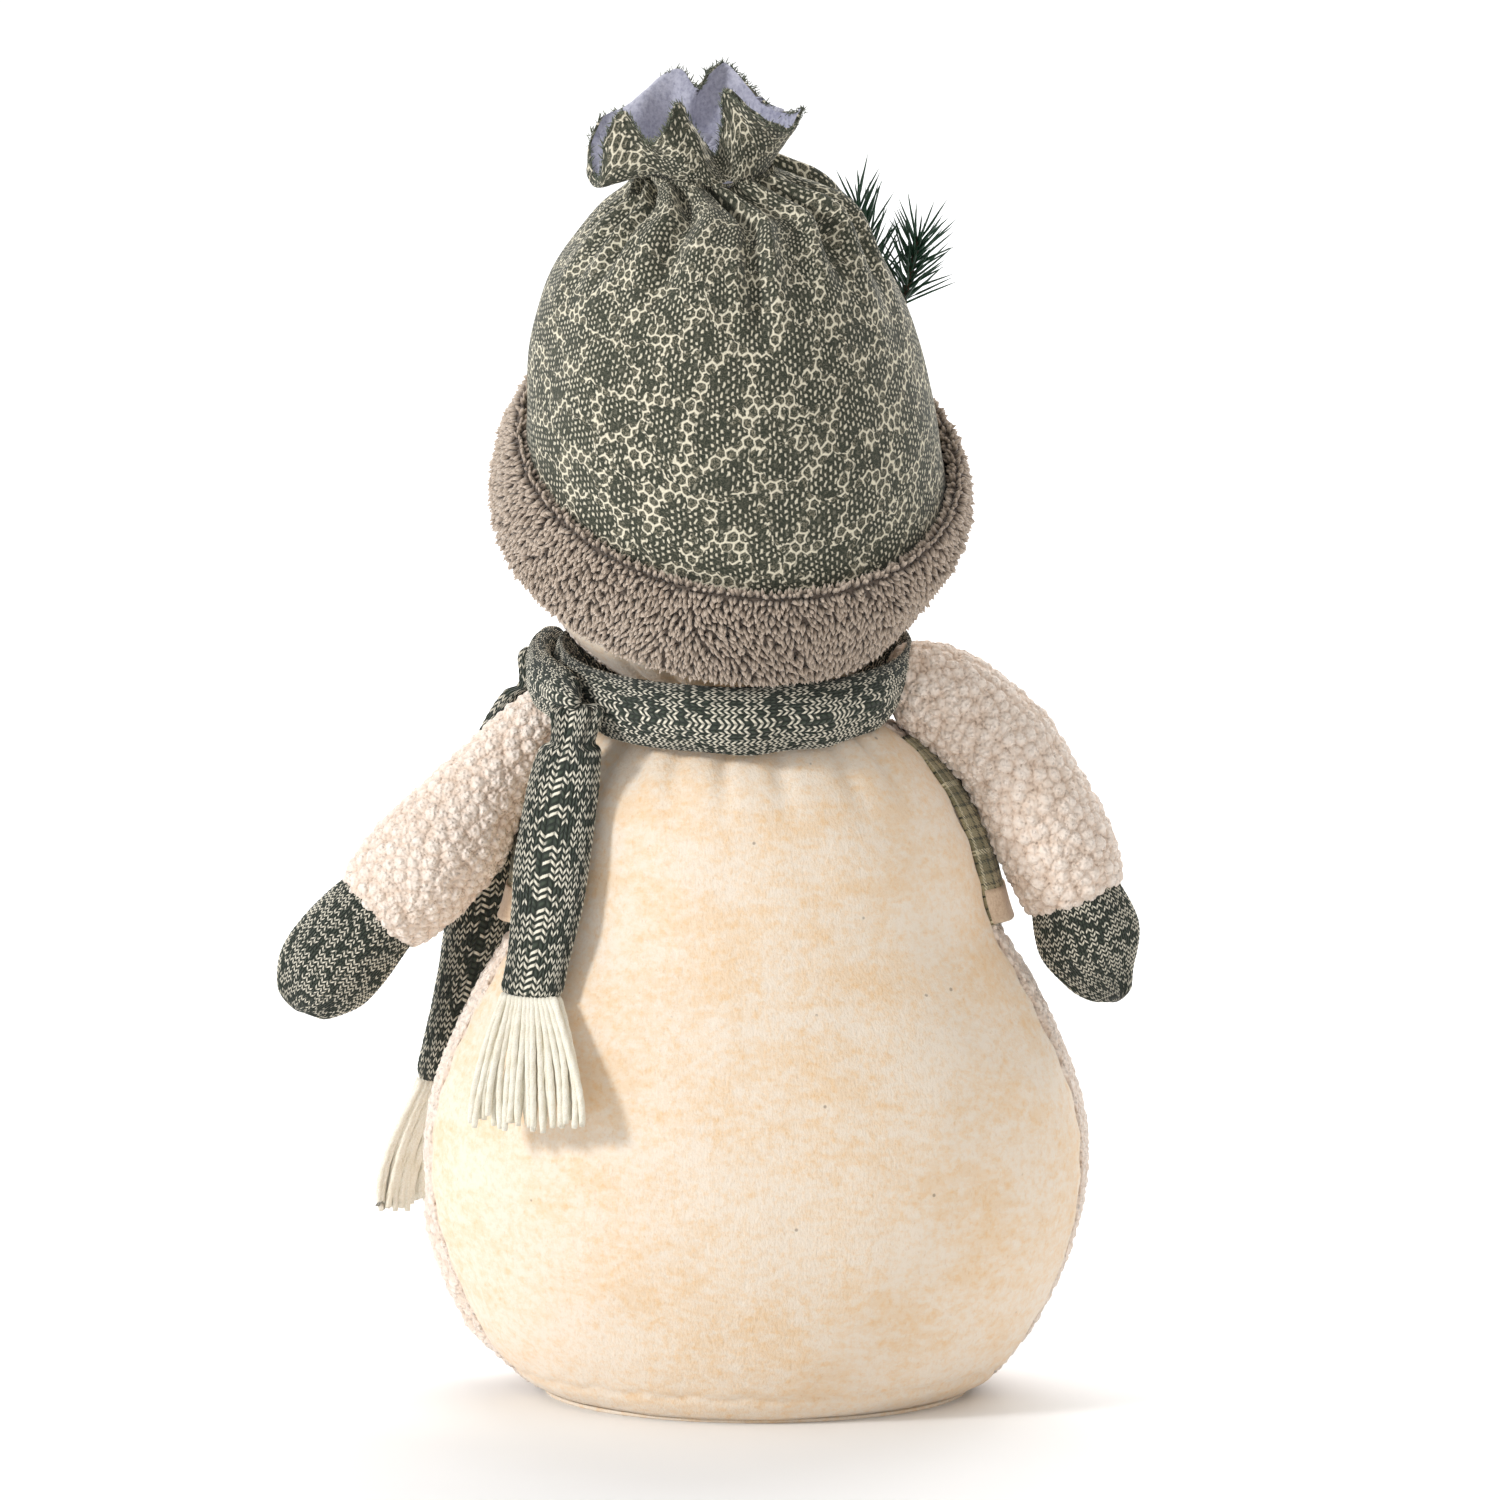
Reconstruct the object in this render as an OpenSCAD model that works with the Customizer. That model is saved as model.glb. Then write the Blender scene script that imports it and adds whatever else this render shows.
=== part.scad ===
// Stuffed fabric snowman: felt back, fleece front, knitted scarf and mittens, gathered hat.
// Millimetres. The face looks along -Y, +Z is up, and the base rests on Z = 0.

/* [Cloth] */
// Thickness of the felt and fleece body panels
panel_t = 3; // [2:0.5:4]
// Thickness of the hat's woven crown
crown_t = 2; // [1.5:0.1:2]
// Clearance between one soft piece and the next
gap = 0.5; // [0.4:0.1:0.7]

/* [Body] */
// Thickness of the flat base panel
base_t = 1.6; // [1:0.2:1.6]
// Angle by which the side seams lie behind the widest line
seam_angle = 10; // [6:1:14]
// Height of the bag of beads that weights the base
weight_h = 29; // [20:1:30]

/* [Head] */
// Half width of the head
head_rx = 78; // [76:0.5:78]
// Half depth of the head
head_ry = 72; // [70:0.5:72]
// Half height of the head
head_rz = 70; // [68:0.5:70]
// Height of the head's centre above the floor
head_z = 336; // [335:0.5:337]
// Sideways lean of the head's centre
head_x = 8; // [7:0.5:9]
// Length of the carrot nose
nose_len = 44; // [30:1:50]
// Radius of each eye bead
eye_r = 5.5; // [4:0.5:6]

/* [Hat] */
// Backward tilt of the cuff
hat_tilt = 32; // [30:1:33]
// Turn of the hat about the head
hat_yaw = 15; // [12:1:18]
// Inner radius of the cuff
cuff_r = 83.4; // [83.4:0.1:84]
// Thickness of the cuff
cuff_t = 7.4; // [7:0.2:9]
// Height of the cuff band
cuff_h = 42; // [36:1:42]
// Number of ruffles in the frill
ruffles = 7; // [5:1:9]

/* [Scarf] */
// Thickness of the flattened knitted tube
scarf_t = 11; // [9:0.5:12]
// Tilt of the wrap, low at the back
wrap_tilt = 6; // [4:1:6]
// Length of the fringe yarns
fringe_len = 48; // [40:1:52]
// Radius of one fringe yarn
yarn_r = 1.35; // [1:0.05:1.4]

/* [Arms] */
// Depth of an arm as a share of its width
arm_flat = 0.95; // [0.9:0.01:0.96]

/* [Vest] */
// Thickness of the vest's woven cloth
vest_t = 2.2; // [1.5:0.1:2.5]
// Height of the vest's hem above the floor
vest_hem_z = 183; // [175:1:190]
// Radius of a vest button
button_r = 9; // [7:0.5:10]

/* [Hidden] */

// Facet counts: round exact shapes, points round a body ring, round a limb and round a band
$fn = 48;
body_cols = 36;
frill_cols = 56;
half_cols = 16;
limb_cols = 18;
band_cols = 14;

// Body outline, bottom to top: height, half width, half depth, sideways lean
body_profile = [
    [2, 82, 64, 0], [10, 93, 71, 0], [30, 108, 81, 0], [63, 122, 90, 0], [94, 126, 92, 0],
    [125, 120, 88.5, 0], [156, 106, 80, 0], [183, 91, 71, 0], [215, 83.5, 65, 1],
    [240, 73, 58, 3], [256, 59, 47, 4.5], [266, 42, 39, 5.5], [277, 38, 36, 6]
];
neck_z = 277;
neck_tie_z = 271;
weight_z = 3.6;
stuffing_z = 34;

// Arm outlines: across, up, radius. Sleeves run from the cuff to the shoulder, mittens to the tip.
left_sleeve_rows = [
    [145, 184.5, 19], [130.5, 199, 22.6], [116, 215, 22.3], [106, 229.5, 18],
    [95, 246, 13.5], [86, 256, 11], [82, 261, 5]
];
left_mitten_rows = [
    [146.4, 183.1, 18.6], [157, 171, 20], [166, 160, 18.5], [173, 150.5, 11], [175, 147, 3]
];
right_sleeve_rows = [
    [-122, 190, 19], [-115, 210, 21], [-106, 230, 20], [-97, 248, 18],
    [-84, 263, 16], [-71, 274, 13], [-66, 278, 6]
];
right_mitten_rows = [
    [-122.6, 188, 18.6], [-127, 175, 20], [-131.5, 163, 14.5], [-136, 154.5, 8], [-137.5, 150.5, 3]
];

// Scarf wrap section, bottom to top: height, inner radius, outer radius
wrap_profile = [[262, 54, 58.5], [268, 54.5, 63], [276, 57.5, 66.5], [284, 61.5, 68.5], [290, 64.5, 67.5]];
wrap_x = 8;
wrap_depth_less = 2;
crossover_r = 69.3;
crossover_z = 268;
crossover_h = 22;

// Scarf tails, top to bottom: across, back, up, half width
back_tail_rows = [
    [69, 42, 259, 8], [70, 42, 255, 12], [73, 42, 240, 14], [77, 47.5, 214, 15],
    [79, 50, 196, 14], [82, 53.5, 178, 12.5], [85, 58.5, 163, 12.5]
];
front_tail_rows = [
    [83, -34, 268, 7], [86, -34, 263, 11.5], [97, -34, 240, 13.5], [104, -37, 207, 13.5],
    [106, -42, 176, 13], [113, -48, 145, 11], [122, -54.5, 109, 9.5]
];
tail_yaw = 25;
front_tail_yaw = 160;

// Hat crown, bottom to top: centre across, back and up, radius, backward tilt
crown_profile = [
    [7.5, 4, 352, 82.3, 32], [8, 11.5, 366, 80, 32], [9.5, 13, 388, 77.5, 27], [10.5, 13, 408, 73, 20],
    [10.5, 12.5, 426, 67.5, 14], [10.5, 12, 442, 59, 8], [9.5, 11, 455, 51, 5], [8, 11, 463, 43, 6],
    [11, 10, 468, 37.5, 10], [15, 10, 471, 31, 13], [19.5, 10, 473.5, 26.5, 15], [20.5, 10, 476, 25.5, 15]
];
cuff_at = [9, 2, 348];
frill_at = [20.5, 10, 477.5];
// Frill outline, bottom to top: height, radius, ruffle depth, fall towards the back
frill_profile = [
    [0, 24.8, 0.5, 0.26], [6, 27, 1.5, 0.24], [13, 31, 3, 0.2], [20, 34.5, 4.5, 0.17], [27, 35.5, 5.5, 0.15]
];
frill_t = 1.6;

// Pine sprig tucked behind the cuff: a foot and two branch ends
sprig_foot = [-52, -44, 395];
sprig_tips = [[-38, -47, 452], [-62, -41, 439]];
stem_r = 1.1;

// Angles round the body, in degrees: slit between front and back panels, and the vest's edges
panel_slit = 0.6;
vest_side = seam_angle - 2;
vest_left_front = [272, 322];
vest_right_front = [268, 218];
vest_top_z = 255;
vest_clear = 1.6;
vest_flare = 3.4;
// Ends of the piece that crosses over the wrap, in degrees
crossover_ends = [-27, 38];
// Clearance of the fillings inside the panels
body_slack = 4.6;
head_slack = 0.5;
hat_slack = 4.5;
arm_slack = 1;

// Face: places across and up, and the radii of the smile and its beads
nose_up = 327;
eye_across = 23;
eye_up = 349;
smile_up = 332;
smile_r = 30;
bead_r = 2.6;

// Fringe: yarns in a layer, and the share of the tail's width that they fill
strands = 11;
strand_fill = 0.92;
// Fringe lie: spread to each side, shift across, shift away from the body, extra length
back_fringe_lie = [21, 1, 26, 0];
front_fringe_lie = [8, 15, 8, 6];

// Smooth value at u, from 0 to 1, along a list of control rows
function spline(rows, u) =
    let (last = len(rows) - 1, s = min(max(u, 0) * last, last - 0.0001), i = floor(s), f = s - i,
         a = rows[max(i - 1, 0)], b = rows[i], c = rows[i + 1], d = rows[min(i + 2, last)])
    0.5 * (2 * b + f * (c - a) + f * f * (2 * a - 5 * b + 4 * c - d) + f * f * f * (3 * b - a - 3 * c + d));
function spline_rows(rows, count, from = 0, to = 1) =
    [for (k = [0 : count]) spline(rows, from + (to - from) * k / count)];
function backwards(list) = [for (k = [len(list) - 1 : -1 : 0]) list[k]];
function power(v, e) = sign(v) * pow(abs(v), e);

body_rows = spline_rows(body_profile, 16);
body_widths = [for (row = body_rows) [row[0], row[1]]];
body_depths = [for (row = body_rows) [row[0], row[2]]];
body_leans = [for (row = body_rows) [row[0], row[3]]];
function body_at(z) = [z, lookup(z, body_widths), lookup(z, body_depths), lookup(z, body_leans)];
// Depth of the body's surface at a place across and up
function body_y(x, z) =
    let (row = body_at(z), s = min(abs(x - row[3]) / row[1], 1)) row[2] * sqrt(1 - s * s);

// Part or all of a body ring, grown outwards, counter-clockwise seen from above
function body_ring(row, grow, from, to, count) =
    [for (k = [0 : count]) let (t = from + (to - from) * k / count)
        [row[3] + (row[1] + grow) * cos(t), (row[2] + grow) * sin(t), row[0]]];
function body_loop(row, grow) = body_ring(row, grow, 0, 360 - 360 / body_cols, body_cols - 1);

// Part of a ring of the head at a latitude
function head_ring(lat, grow, from, to, count) =
    [for (k = [0 : count]) let (t = from + (to - from) * k / count)
        [head_x + (head_rx + grow) * cos(lat) * cos(t), (head_ry + grow) * cos(lat) * sin(t),
         head_z + (head_rz + grow) * sin(lat)]];
head_low = -asin((head_z - neck_z - 1) / head_rz);
head_high = 86;
head_lats = [for (k = [0 : 11]) head_low + (head_high - head_low) * k / 11];

// Point of the tilted and turned hat, from its own across, back and up
function hat_point(p, at, tilt) =
    let (y = p[1] * cos(tilt) + p[2] * sin(tilt), z = p[2] * cos(tilt) - p[1] * sin(tilt))
    at + [p[0] * cos(hat_yaw) - y * sin(hat_yaw), p[0] * sin(hat_yaw) + y * cos(hat_yaw), z];
function hat_ring(at, tilt, r, h = 0) =
    [for (k = [0 : body_cols - 1]) let (t = 360 * k / body_cols)
        hat_point([r * cos(t), r * sin(t), h], at, tilt)];
function crown_ring(row, grow) = hat_ring([row[0], row[1], row[2]], row[4], row[3] + grow);

// Rings of a limb along its outline
function limb_rings(rows, grow, from, to, count) =
    [for (k = [0 : count])
        let (u = from + (to - from) * k / count, p = spline(rows, u),
             d = spline(rows, min(u + 0.02, 1)) - spline(rows, max(u - 0.02, 0)),
             run = norm([d[0], d[1]]), dx = d[0] / run, dz = d[1] / run, r = max(p[2] + grow, 0.6))
        [for (j = [0 : limb_cols - 1]) let (t = 360 * j / limb_cols)
            [p[0] + r * cos(t) * dz, arm_flat * r * sin(t), p[1] - r * cos(t) * dx]]];
function arm_rows(sleeve_rows, mitten_rows) =
    concat(backwards([for (k = [1 : len(sleeve_rows) - 1]) sleeve_rows[k]]), mitten_rows);

// Flattened ring of a hanging scarf tail
function band_ring(row, thick, yaw) =
    [for (j = [0 : band_cols - 1])
        let (t = 360 * j / band_cols, w = row[3] * power(cos(t), 0.7), h = thick / 2 * power(sin(t), 0.7))
        [row[0] + w * cos(yaw) + h * sin(yaw), row[1] - w * sin(yaw) + h * cos(yaw), row[2]]];

// Closed solid through rings of points, bottom to top
module loft(rings) {
    n = len(rings[0]);
    m = len(rings);
    sides = [for (i = [0 : m - 2], j = [0 : n - 1])
        let (a = i * n + j, b = i * n + (j + 1) % n) each [[a, a + n, b + n], [a, b + n, b]]];
    low = [for (j = [0 : n - 1]) j];
    high = [for (j = [n - 1 : -1 : 0]) (m - 1) * n + j];
    polyhedron([for (ring = rings) each ring], concat([low], sides, [high]));
}

// Sheet with thickness between two grids of points. A closed one goes all the way round, and one
// with a tip has its last rows closed by caps.
module sheet(outer, inner, closed = false, tip = false) {
    n = len(outer[0]);
    m = len(outer);
    o = m * n;
    p = len(inner);
    last = closed ? n - 1 : n - 2;
    top = (m - 1) * n;
    topi = o + (p - 1) * n;
    faces_out = [for (i = [0 : m - 2], j = [0 : last])
        let (a = i * n + j, b = i * n + (j + 1) % n) each [[a, a + n, b + n], [a, b + n, b]]];
    faces_in = [for (i = [0 : p - 2], j = [0 : last])
        let (a = o + i * n + j, b = o + i * n + (j + 1) % n) each [[a, b + n, a + n], [a, b, b + n]]];
    rim_low = [for (j = [0 : last]) let (a = j, b = (j + 1) % n) each [[a, b, o + b], [a, o + b, o + a]]];
    rim_high = tip
        ? [[for (j = [n - 1 : -1 : 0]) top + j], [for (j = [0 : n - 1]) topi + j]]
        : [for (j = [0 : last]) let (a = j, b = (j + 1) % n)
            each [[top + b, top + a, topi + a], [top + b, topi + a, topi + b]]];
    rim_start = closed ? [] : [for (i = [0 : m - 2]) let (a = i * n)
        each [[a + n, a, o + a], [a + n, o + a, o + a + n]]];
    rim_end = closed ? [] : [for (i = [0 : m - 2]) let (b = i * n + n - 1)
        each [[b, b + n, o + b + n], [b, o + b + n, o + b]]];
    polyhedron([for (row = concat(outer, inner)) each row],
        concat(faces_out, faces_in, rim_low, rim_high, rim_start, rim_end));
}

module body_panel(from, to, cols) {
    sheet([for (row = body_rows) body_ring(row, 0, from, to, cols)],
          [for (row = body_rows) body_ring(row, -panel_t, from, to, cols)]);
}

module body_back_panel() {
    color("navajowhite") body_panel(seam_angle, 180 - seam_angle, half_cols);
}

module body_front_panel() {
    color("seashell")
        body_panel(180 - seam_angle + panel_slit, 360 + seam_angle - panel_slit, half_cols + 4);
}

module base_panel() {
    row = body_profile[0];
    color("wheat") linear_extrude(base_t)
        polygon([for (t = [0 : 7.5 : 359]) [(row[1] - 1) * cos(t), (row[2] - 1) * sin(t)]]);
}

module body_stuffing() {
    top = neck_z - 2;
    levels = 13;
    color("white") loft([for (k = [0 : levels])
        body_loop(body_at(stuffing_z + (top - stuffing_z) * k / levels), -panel_t - gap - body_slack)]);
}

module weight_bag() {
    shape = [[0, 0.72], [0.15, 0.86], [0.5, 0.9], [0.85, 0.84], [1, 0.66]];
    color("tan") loft([for (s = shape)
        let (row = body_at(weight_z + weight_h * s[0]), f = s[1])
        body_loop([row[0], row[1] * f, row[2] * f, 0], 0)]);
}

module neck_tie() {
    row = body_at(neck_tie_z);
    cord_r = 1.2;
    color("ivory") translate([row[3], 0, neck_tie_z])
        rotate_extrude() translate([row[1] + cord_r + gap, 0]) circle(cord_r, $fn = 16);
}

// Row of the vest at a height, which flares out from the side seam
function vest_row(z, first, last, side, grow) =
    [for (k = [0 : half_cols])
        let (t = first + (last - first) * k / half_cols, away = min(abs(t - side) / 22, 1),
             drop = (vest_top_z - z) / (vest_top_z - vest_hem_z), row = body_at(z),
             out = grow + vest_flare * sin(90 * away) * min(drop * 2, 1))
        [row[3] + (row[1] + out) * cos(t), (row[2] + out) * sin(t), z]];

// Vest panel from a side seam to a slanted front edge, given at the hem and at the top
module vest_panel(side, fronts) {
    levels = 8;
    grid = function (grow) [for (k = [0 : levels])
        let (u = k / levels, z = vest_hem_z + (vest_top_z - vest_hem_z) * u,
             front = fronts[0] + (fronts[1] - fronts[0]) * u)
        vest_row(z, min(side, front), max(side, front), side, grow)];
    sheet(grid(vest_clear + vest_t), grid(vest_clear));
}

module vest_left_panel() {
    color("darkolivegreen") vest_panel(360 + vest_side, vest_left_front);
}

module vest_right_panel() {
    color("darkolivegreen") vest_panel(180 - vest_side, vest_right_front);
}

module vest_buttons() {
    heights = [196, 222];
    thick = 3;
    slope = 13;
    stand = 11.4;
    color("peru") for (z = heights)
        translate([9, -body_y(9, z) - stand, z]) rotate([90 + slope, 0, 0])
            difference() {
                cylinder(h = thick, r = button_r);
                for (x = [-1, 1], y = [-1, 1])
                    translate([x * 2, y * 2, -1]) cylinder(h = thick + 2, r = 0.9, $fn = 16);
            }
}

// Ring of points of the tilted scarf at a height and a radius
function wrap_ring(z, r, from, to, count) =
    [for (k = [0 : count]) let (t = from + (to - from) * k / count, y = (r - wrap_depth_less) * sin(t))
        [wrap_x + r * cos(t), y, z - y * tan(wrap_tilt)]];

module scarf_wrap() {
    rows = spline_rows(wrap_profile, 6);
    step = 360 / body_cols;
    color("darkslategray") sheet(
        [for (row = rows) wrap_ring(row[0], row[2], 0, 360 - step, body_cols - 1)],
        [for (row = rows) wrap_ring(row[0], row[1], 0, 360 - step, body_cols - 1)], closed = true);
}

module scarf_crossover() {
    bulge = [[0, 0.75], [0.2, 0.95], [0.5, 1], [0.8, 0.95], [1, 0.7]];
    grid = function (full) [for (s = bulge)
        wrap_ring(crossover_z + crossover_h * s[0],
            crossover_r + (full ? (scarf_t - 1) * s[1] : 0), crossover_ends[0], crossover_ends[1], 12)];
    color("slategray") sheet(grid(true), grid(false));
}

module head_panel(from, to, cols) {
    sheet([for (lat = head_lats) head_ring(lat, 0, from, to, cols)],
          [for (lat = head_lats) head_ring(lat, -panel_t, from, to, cols)]);
}

module head_back_panel() {
    color("navajowhite") head_panel(seam_angle, 180 - seam_angle, half_cols);
}

module head_front_panel() {
    color("seashell")
        head_panel(180 - seam_angle + panel_slit, 360 + seam_angle - panel_slit, half_cols + 4);
}

module head_stuffing() {
    inset = -panel_t - gap - head_slack;
    low = -asin((head_z - neck_z - 3) / (head_rz + inset));
    levels = 11;
    step = 360 / body_cols;
    color("white") loft([for (k = [0 : levels])
        head_ring(low + (88 - low) * k / levels, inset, 0, 360 - step, body_cols - 1)]);
}

// Point on the head's surface, moved out along its normal
function face_point(x, z, out) =
    let (u = x / head_rx, w = (z - head_z) / head_rz, v = -sqrt(1 - u * u - w * w),
         n = [u / head_rx, v / head_ry, w / head_rz])
    [head_x + x, head_ry * v, z] + out * n / norm(n);

module nose() {
    base_r = 8.5;
    tip_r = 1.6;
    bend_h = 3;
    outline = [[0, 0], [base_r - 2, 0], [base_r, bend_h], [tip_r, nose_len - tip_r], [0, nose_len]];
    stand = 1.2;
    color("darkorange") translate(face_point(0, nose_up, stand)) rotate([90, 0, 0])
        rotate_extrude() polygon(outline);
}

module left_eye() {
    color("black") translate(face_point(eye_across, eye_up, eye_r + gap)) sphere(eye_r);
}

module right_eye() {
    color("black") translate(face_point(-eye_across, eye_up, eye_r + gap)) sphere(eye_r);
}

module mouth_beads() {
    color("black") for (t = [-50 : 25 : 50])
        translate(face_point(smile_r * sin(t), smile_up - smile_r * cos(t), bead_r + gap))
            sphere(bead_r, $fn = 24);
}

module hat_crown() {
    rows = spline_rows(crown_profile, 12);
    color("darkseagreen") sheet([for (row = rows) crown_ring(row, 0)],
        [for (row = rows) crown_ring(row, -crown_t)], closed = true);
}

module hat_stuffing() {
    rows = spline_rows(crown_profile, 5, 0.45, 0.74);
    color("white") loft([for (row = rows) crown_ring(row, -crown_t - gap - hat_slack)]);
}

// Ruffled ring of the frill
function frill_ring(row, grow) =
    [for (k = [0 : frill_cols - 1])
        let (t = 360 * k / frill_cols, r = row[1] + row[2] * cos(ruffles * t) + grow)
        frill_at + [r * cos(t), r * sin(t), row[0] - row[3] * r * sin(t - hat_yaw)]];

module hat_frill() {
    rows = spline_rows(frill_profile, 5);
    color("slategray") sheet([for (row = rows) frill_ring(row, 0)],
        [for (row = rows) frill_ring(row, -frill_t)], closed = true);
}

module hat_gather_cord() {
    row = spline(crown_profile, 0.96);
    cord_r = 1.3;
    color("dimgray") translate([row[0], row[1], row[2]]) rotate([0, 0, hat_yaw]) rotate([-row[4], 0, 0])
        rotate_extrude() translate([row[3] - crown_t - cord_r - 0.6, 0]) circle(cord_r, $fn = 16);
}

module hat_cuff() {
    bulge = [[-0.5, 0.35], [-0.42, 0.8], [-0.2, 1], [0.2, 1], [0.42, 0.8], [0.5, 0.35]];
    color("rosybrown") sheet(
        [for (s = bulge) hat_ring(cuff_at, hat_tilt, cuff_r + cuff_t * s[1], cuff_h * s[0])],
        [for (s = bulge) hat_ring(cuff_at, hat_tilt, cuff_r, cuff_h * s[0])], closed = true);
}

// Round bar between two points
module bar(a, b, r, sides) {
    d = b - a;
    translate(a) rotate([0, acos(d[2] / norm(d)), atan2(d[1], d[0])])
        cylinder(h = norm(d), r = r, $fn = sides);
}

module sprig_stems() {
    color("saddlebrown") {
        for (tip = sprig_tips) bar(sprig_foot, tip, stem_r, 16);
        translate(sprig_foot) sphere(stem_r, $fn = 24);
    }
}

module sprig_needles() {
    needle_r = 0.45;
    needle_len = 22;
    rings = 3;
    per_ring = 6;
    stand = stem_r + 0.5;
    color("darkgreen") for (tip = sprig_tips, i = [0 : rings - 1], j = [0 : per_ring - 1])
        let (run = (tip - sprig_foot) / norm(tip - sprig_foot), side = cross(run, [0, 1, 0]),
             other = cross(run, side), t = 360 * j / per_ring + 20 * i,
             out = (cos(t) * side + sin(t) * other) / norm(side),
             start = tip - 7 * i * run + stand * out)
            bar(start, start + needle_len * (0.75 * run + 0.66 * out), needle_r, 3);
}

module sleeve(rows) {
    sheet(limb_rings(rows, 0, 0, 1, 11), limb_rings(rows, -panel_t, 0, 0.94, 11), closed = true, tip = true);
}

module mitten(rows) {
    sheet(limb_rings(rows, 0, 0, 1, 8), limb_rings(rows, -panel_t, 0, 0.9, 8), closed = true, tip = true);
}

module arm_stuffing(sleeve_rows, mitten_rows) {
    loft(limb_rings(arm_rows(sleeve_rows, mitten_rows), -panel_t - gap - arm_slack, 0.14, 0.86, 12));
}

module left_sleeve() {
    color("seashell") sleeve(left_sleeve_rows);
}

module left_mitten() {
    color("darkslategray") mitten(left_mitten_rows);
}

module left_arm_stuffing() {
    color("white") arm_stuffing(left_sleeve_rows, left_mitten_rows);
}

module right_sleeve() {
    color("seashell") sleeve(right_sleeve_rows);
}

module right_mitten() {
    color("darkslategray") mitten(right_mitten_rows);
}

module right_arm_stuffing() {
    color("white") arm_stuffing(right_sleeve_rows, right_mitten_rows);
}

module tail(rows, yaw) {
    loft(backwards([for (row = spline_rows(rows, 10)) band_ring(row, scarf_t, yaw)]));
}

// Yarns that hang from a tail's end in two layers and spread over the body
module fringe(rows, yaw, side, lie) {
    end = rows[len(rows) - 1];
    below = gap + 0.8;
    slant = 6;
    for (layer = [-1, 1], k = [0 : strands - 1])
        let (f = 2 * k / (strands - 1) - 1, w = (end[3] - yarn_r) * f * strand_fill,
             h = layer * (yarn_r + 0.15), g = f * sign(cos(yaw)),
             a = end + [w * cos(yaw) + h * sin(yaw), h * cos(yaw) - w * sin(yaw), -below, 0],
             away = side * (lie[2] - slant * g) + h * cos(yaw),
             b = end + [lie[1] + lie[0] * g, away, -fringe_len - lie[3], 0])
            bar([a[0], a[1], a[2]], [b[0], b[1], b[2]], yarn_r, 16);
}

module scarf_back_tail() {
    color("darkslategray") tail(back_tail_rows, tail_yaw);
}

module back_fringe() {
    color("floralwhite") fringe(back_tail_rows, tail_yaw, 1, back_fringe_lie);
}

module scarf_front_tail() {
    color("darkslategray") tail(front_tail_rows, front_tail_yaw);
}

module front_fringe() {
    color("floralwhite") fringe(front_tail_rows, front_tail_yaw, -1, front_fringe_lie);
}

body_back_panel();
body_front_panel();
base_panel();
body_stuffing();
weight_bag();
neck_tie();
vest_left_panel();
vest_right_panel();
vest_buttons();
scarf_wrap();
scarf_crossover();
head_back_panel();
head_front_panel();
head_stuffing();
nose();
left_eye();
right_eye();
mouth_beads();
hat_crown();
hat_stuffing();
hat_frill();
hat_gather_cord();
hat_cuff();
sprig_stems();
sprig_needles();
left_sleeve();
left_mitten();
left_arm_stuffing();
right_sleeve();
right_mitten();
right_arm_stuffing();
scarf_back_tail();
back_fringe();
scarf_front_tail();
front_fringe();
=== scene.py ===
import logging
import math
import random
from dataclasses import dataclass, field
from enum import Enum
from typing import Callable, Iterable, Protocol, Sequence

import bmesh
import bpy
import numpy as np
from mathutils import Matrix, Vector, noise


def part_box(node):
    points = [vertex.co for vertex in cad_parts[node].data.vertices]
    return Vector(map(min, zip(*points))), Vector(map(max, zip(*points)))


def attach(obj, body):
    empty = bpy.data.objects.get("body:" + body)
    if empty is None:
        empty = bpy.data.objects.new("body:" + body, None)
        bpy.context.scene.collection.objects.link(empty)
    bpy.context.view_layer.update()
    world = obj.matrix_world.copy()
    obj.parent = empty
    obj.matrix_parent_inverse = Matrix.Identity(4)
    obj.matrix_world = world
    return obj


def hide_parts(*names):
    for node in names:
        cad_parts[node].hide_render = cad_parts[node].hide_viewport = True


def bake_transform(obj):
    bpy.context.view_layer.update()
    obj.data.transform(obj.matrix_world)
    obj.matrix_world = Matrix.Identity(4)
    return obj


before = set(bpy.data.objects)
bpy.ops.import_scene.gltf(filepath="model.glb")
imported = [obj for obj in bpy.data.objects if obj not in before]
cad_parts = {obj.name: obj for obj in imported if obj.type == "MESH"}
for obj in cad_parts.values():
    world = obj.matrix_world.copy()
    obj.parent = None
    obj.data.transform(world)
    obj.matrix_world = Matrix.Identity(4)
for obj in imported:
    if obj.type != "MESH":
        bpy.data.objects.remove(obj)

log = logging.getLogger("snowman")
MM = 0.001
Rows = Sequence[Sequence[float]]
Colour = tuple[float, float, float, float]
Link = bpy.types.NodeSocket
Place = Callable[[np.ndarray, np.ndarray], np.ndarray]
Relief = Callable[[np.ndarray, np.ndarray, np.ndarray], tuple[np.ndarray, np.ndarray]]


# ---------------------------------------------------------------- measuring


def dye(code: str) -> Colour:
    """A linear colour from a six-digit hex code."""
    parts = [int(code[i : i + 2], 16) / 255 for i in (0, 2, 4)]
    red, green, blue = (c / 12.92 if c <= 0.04045 else ((c + 0.055) / 1.055) ** 2.4 for c in parts)
    return (red, green, blue, 1.0)


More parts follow.
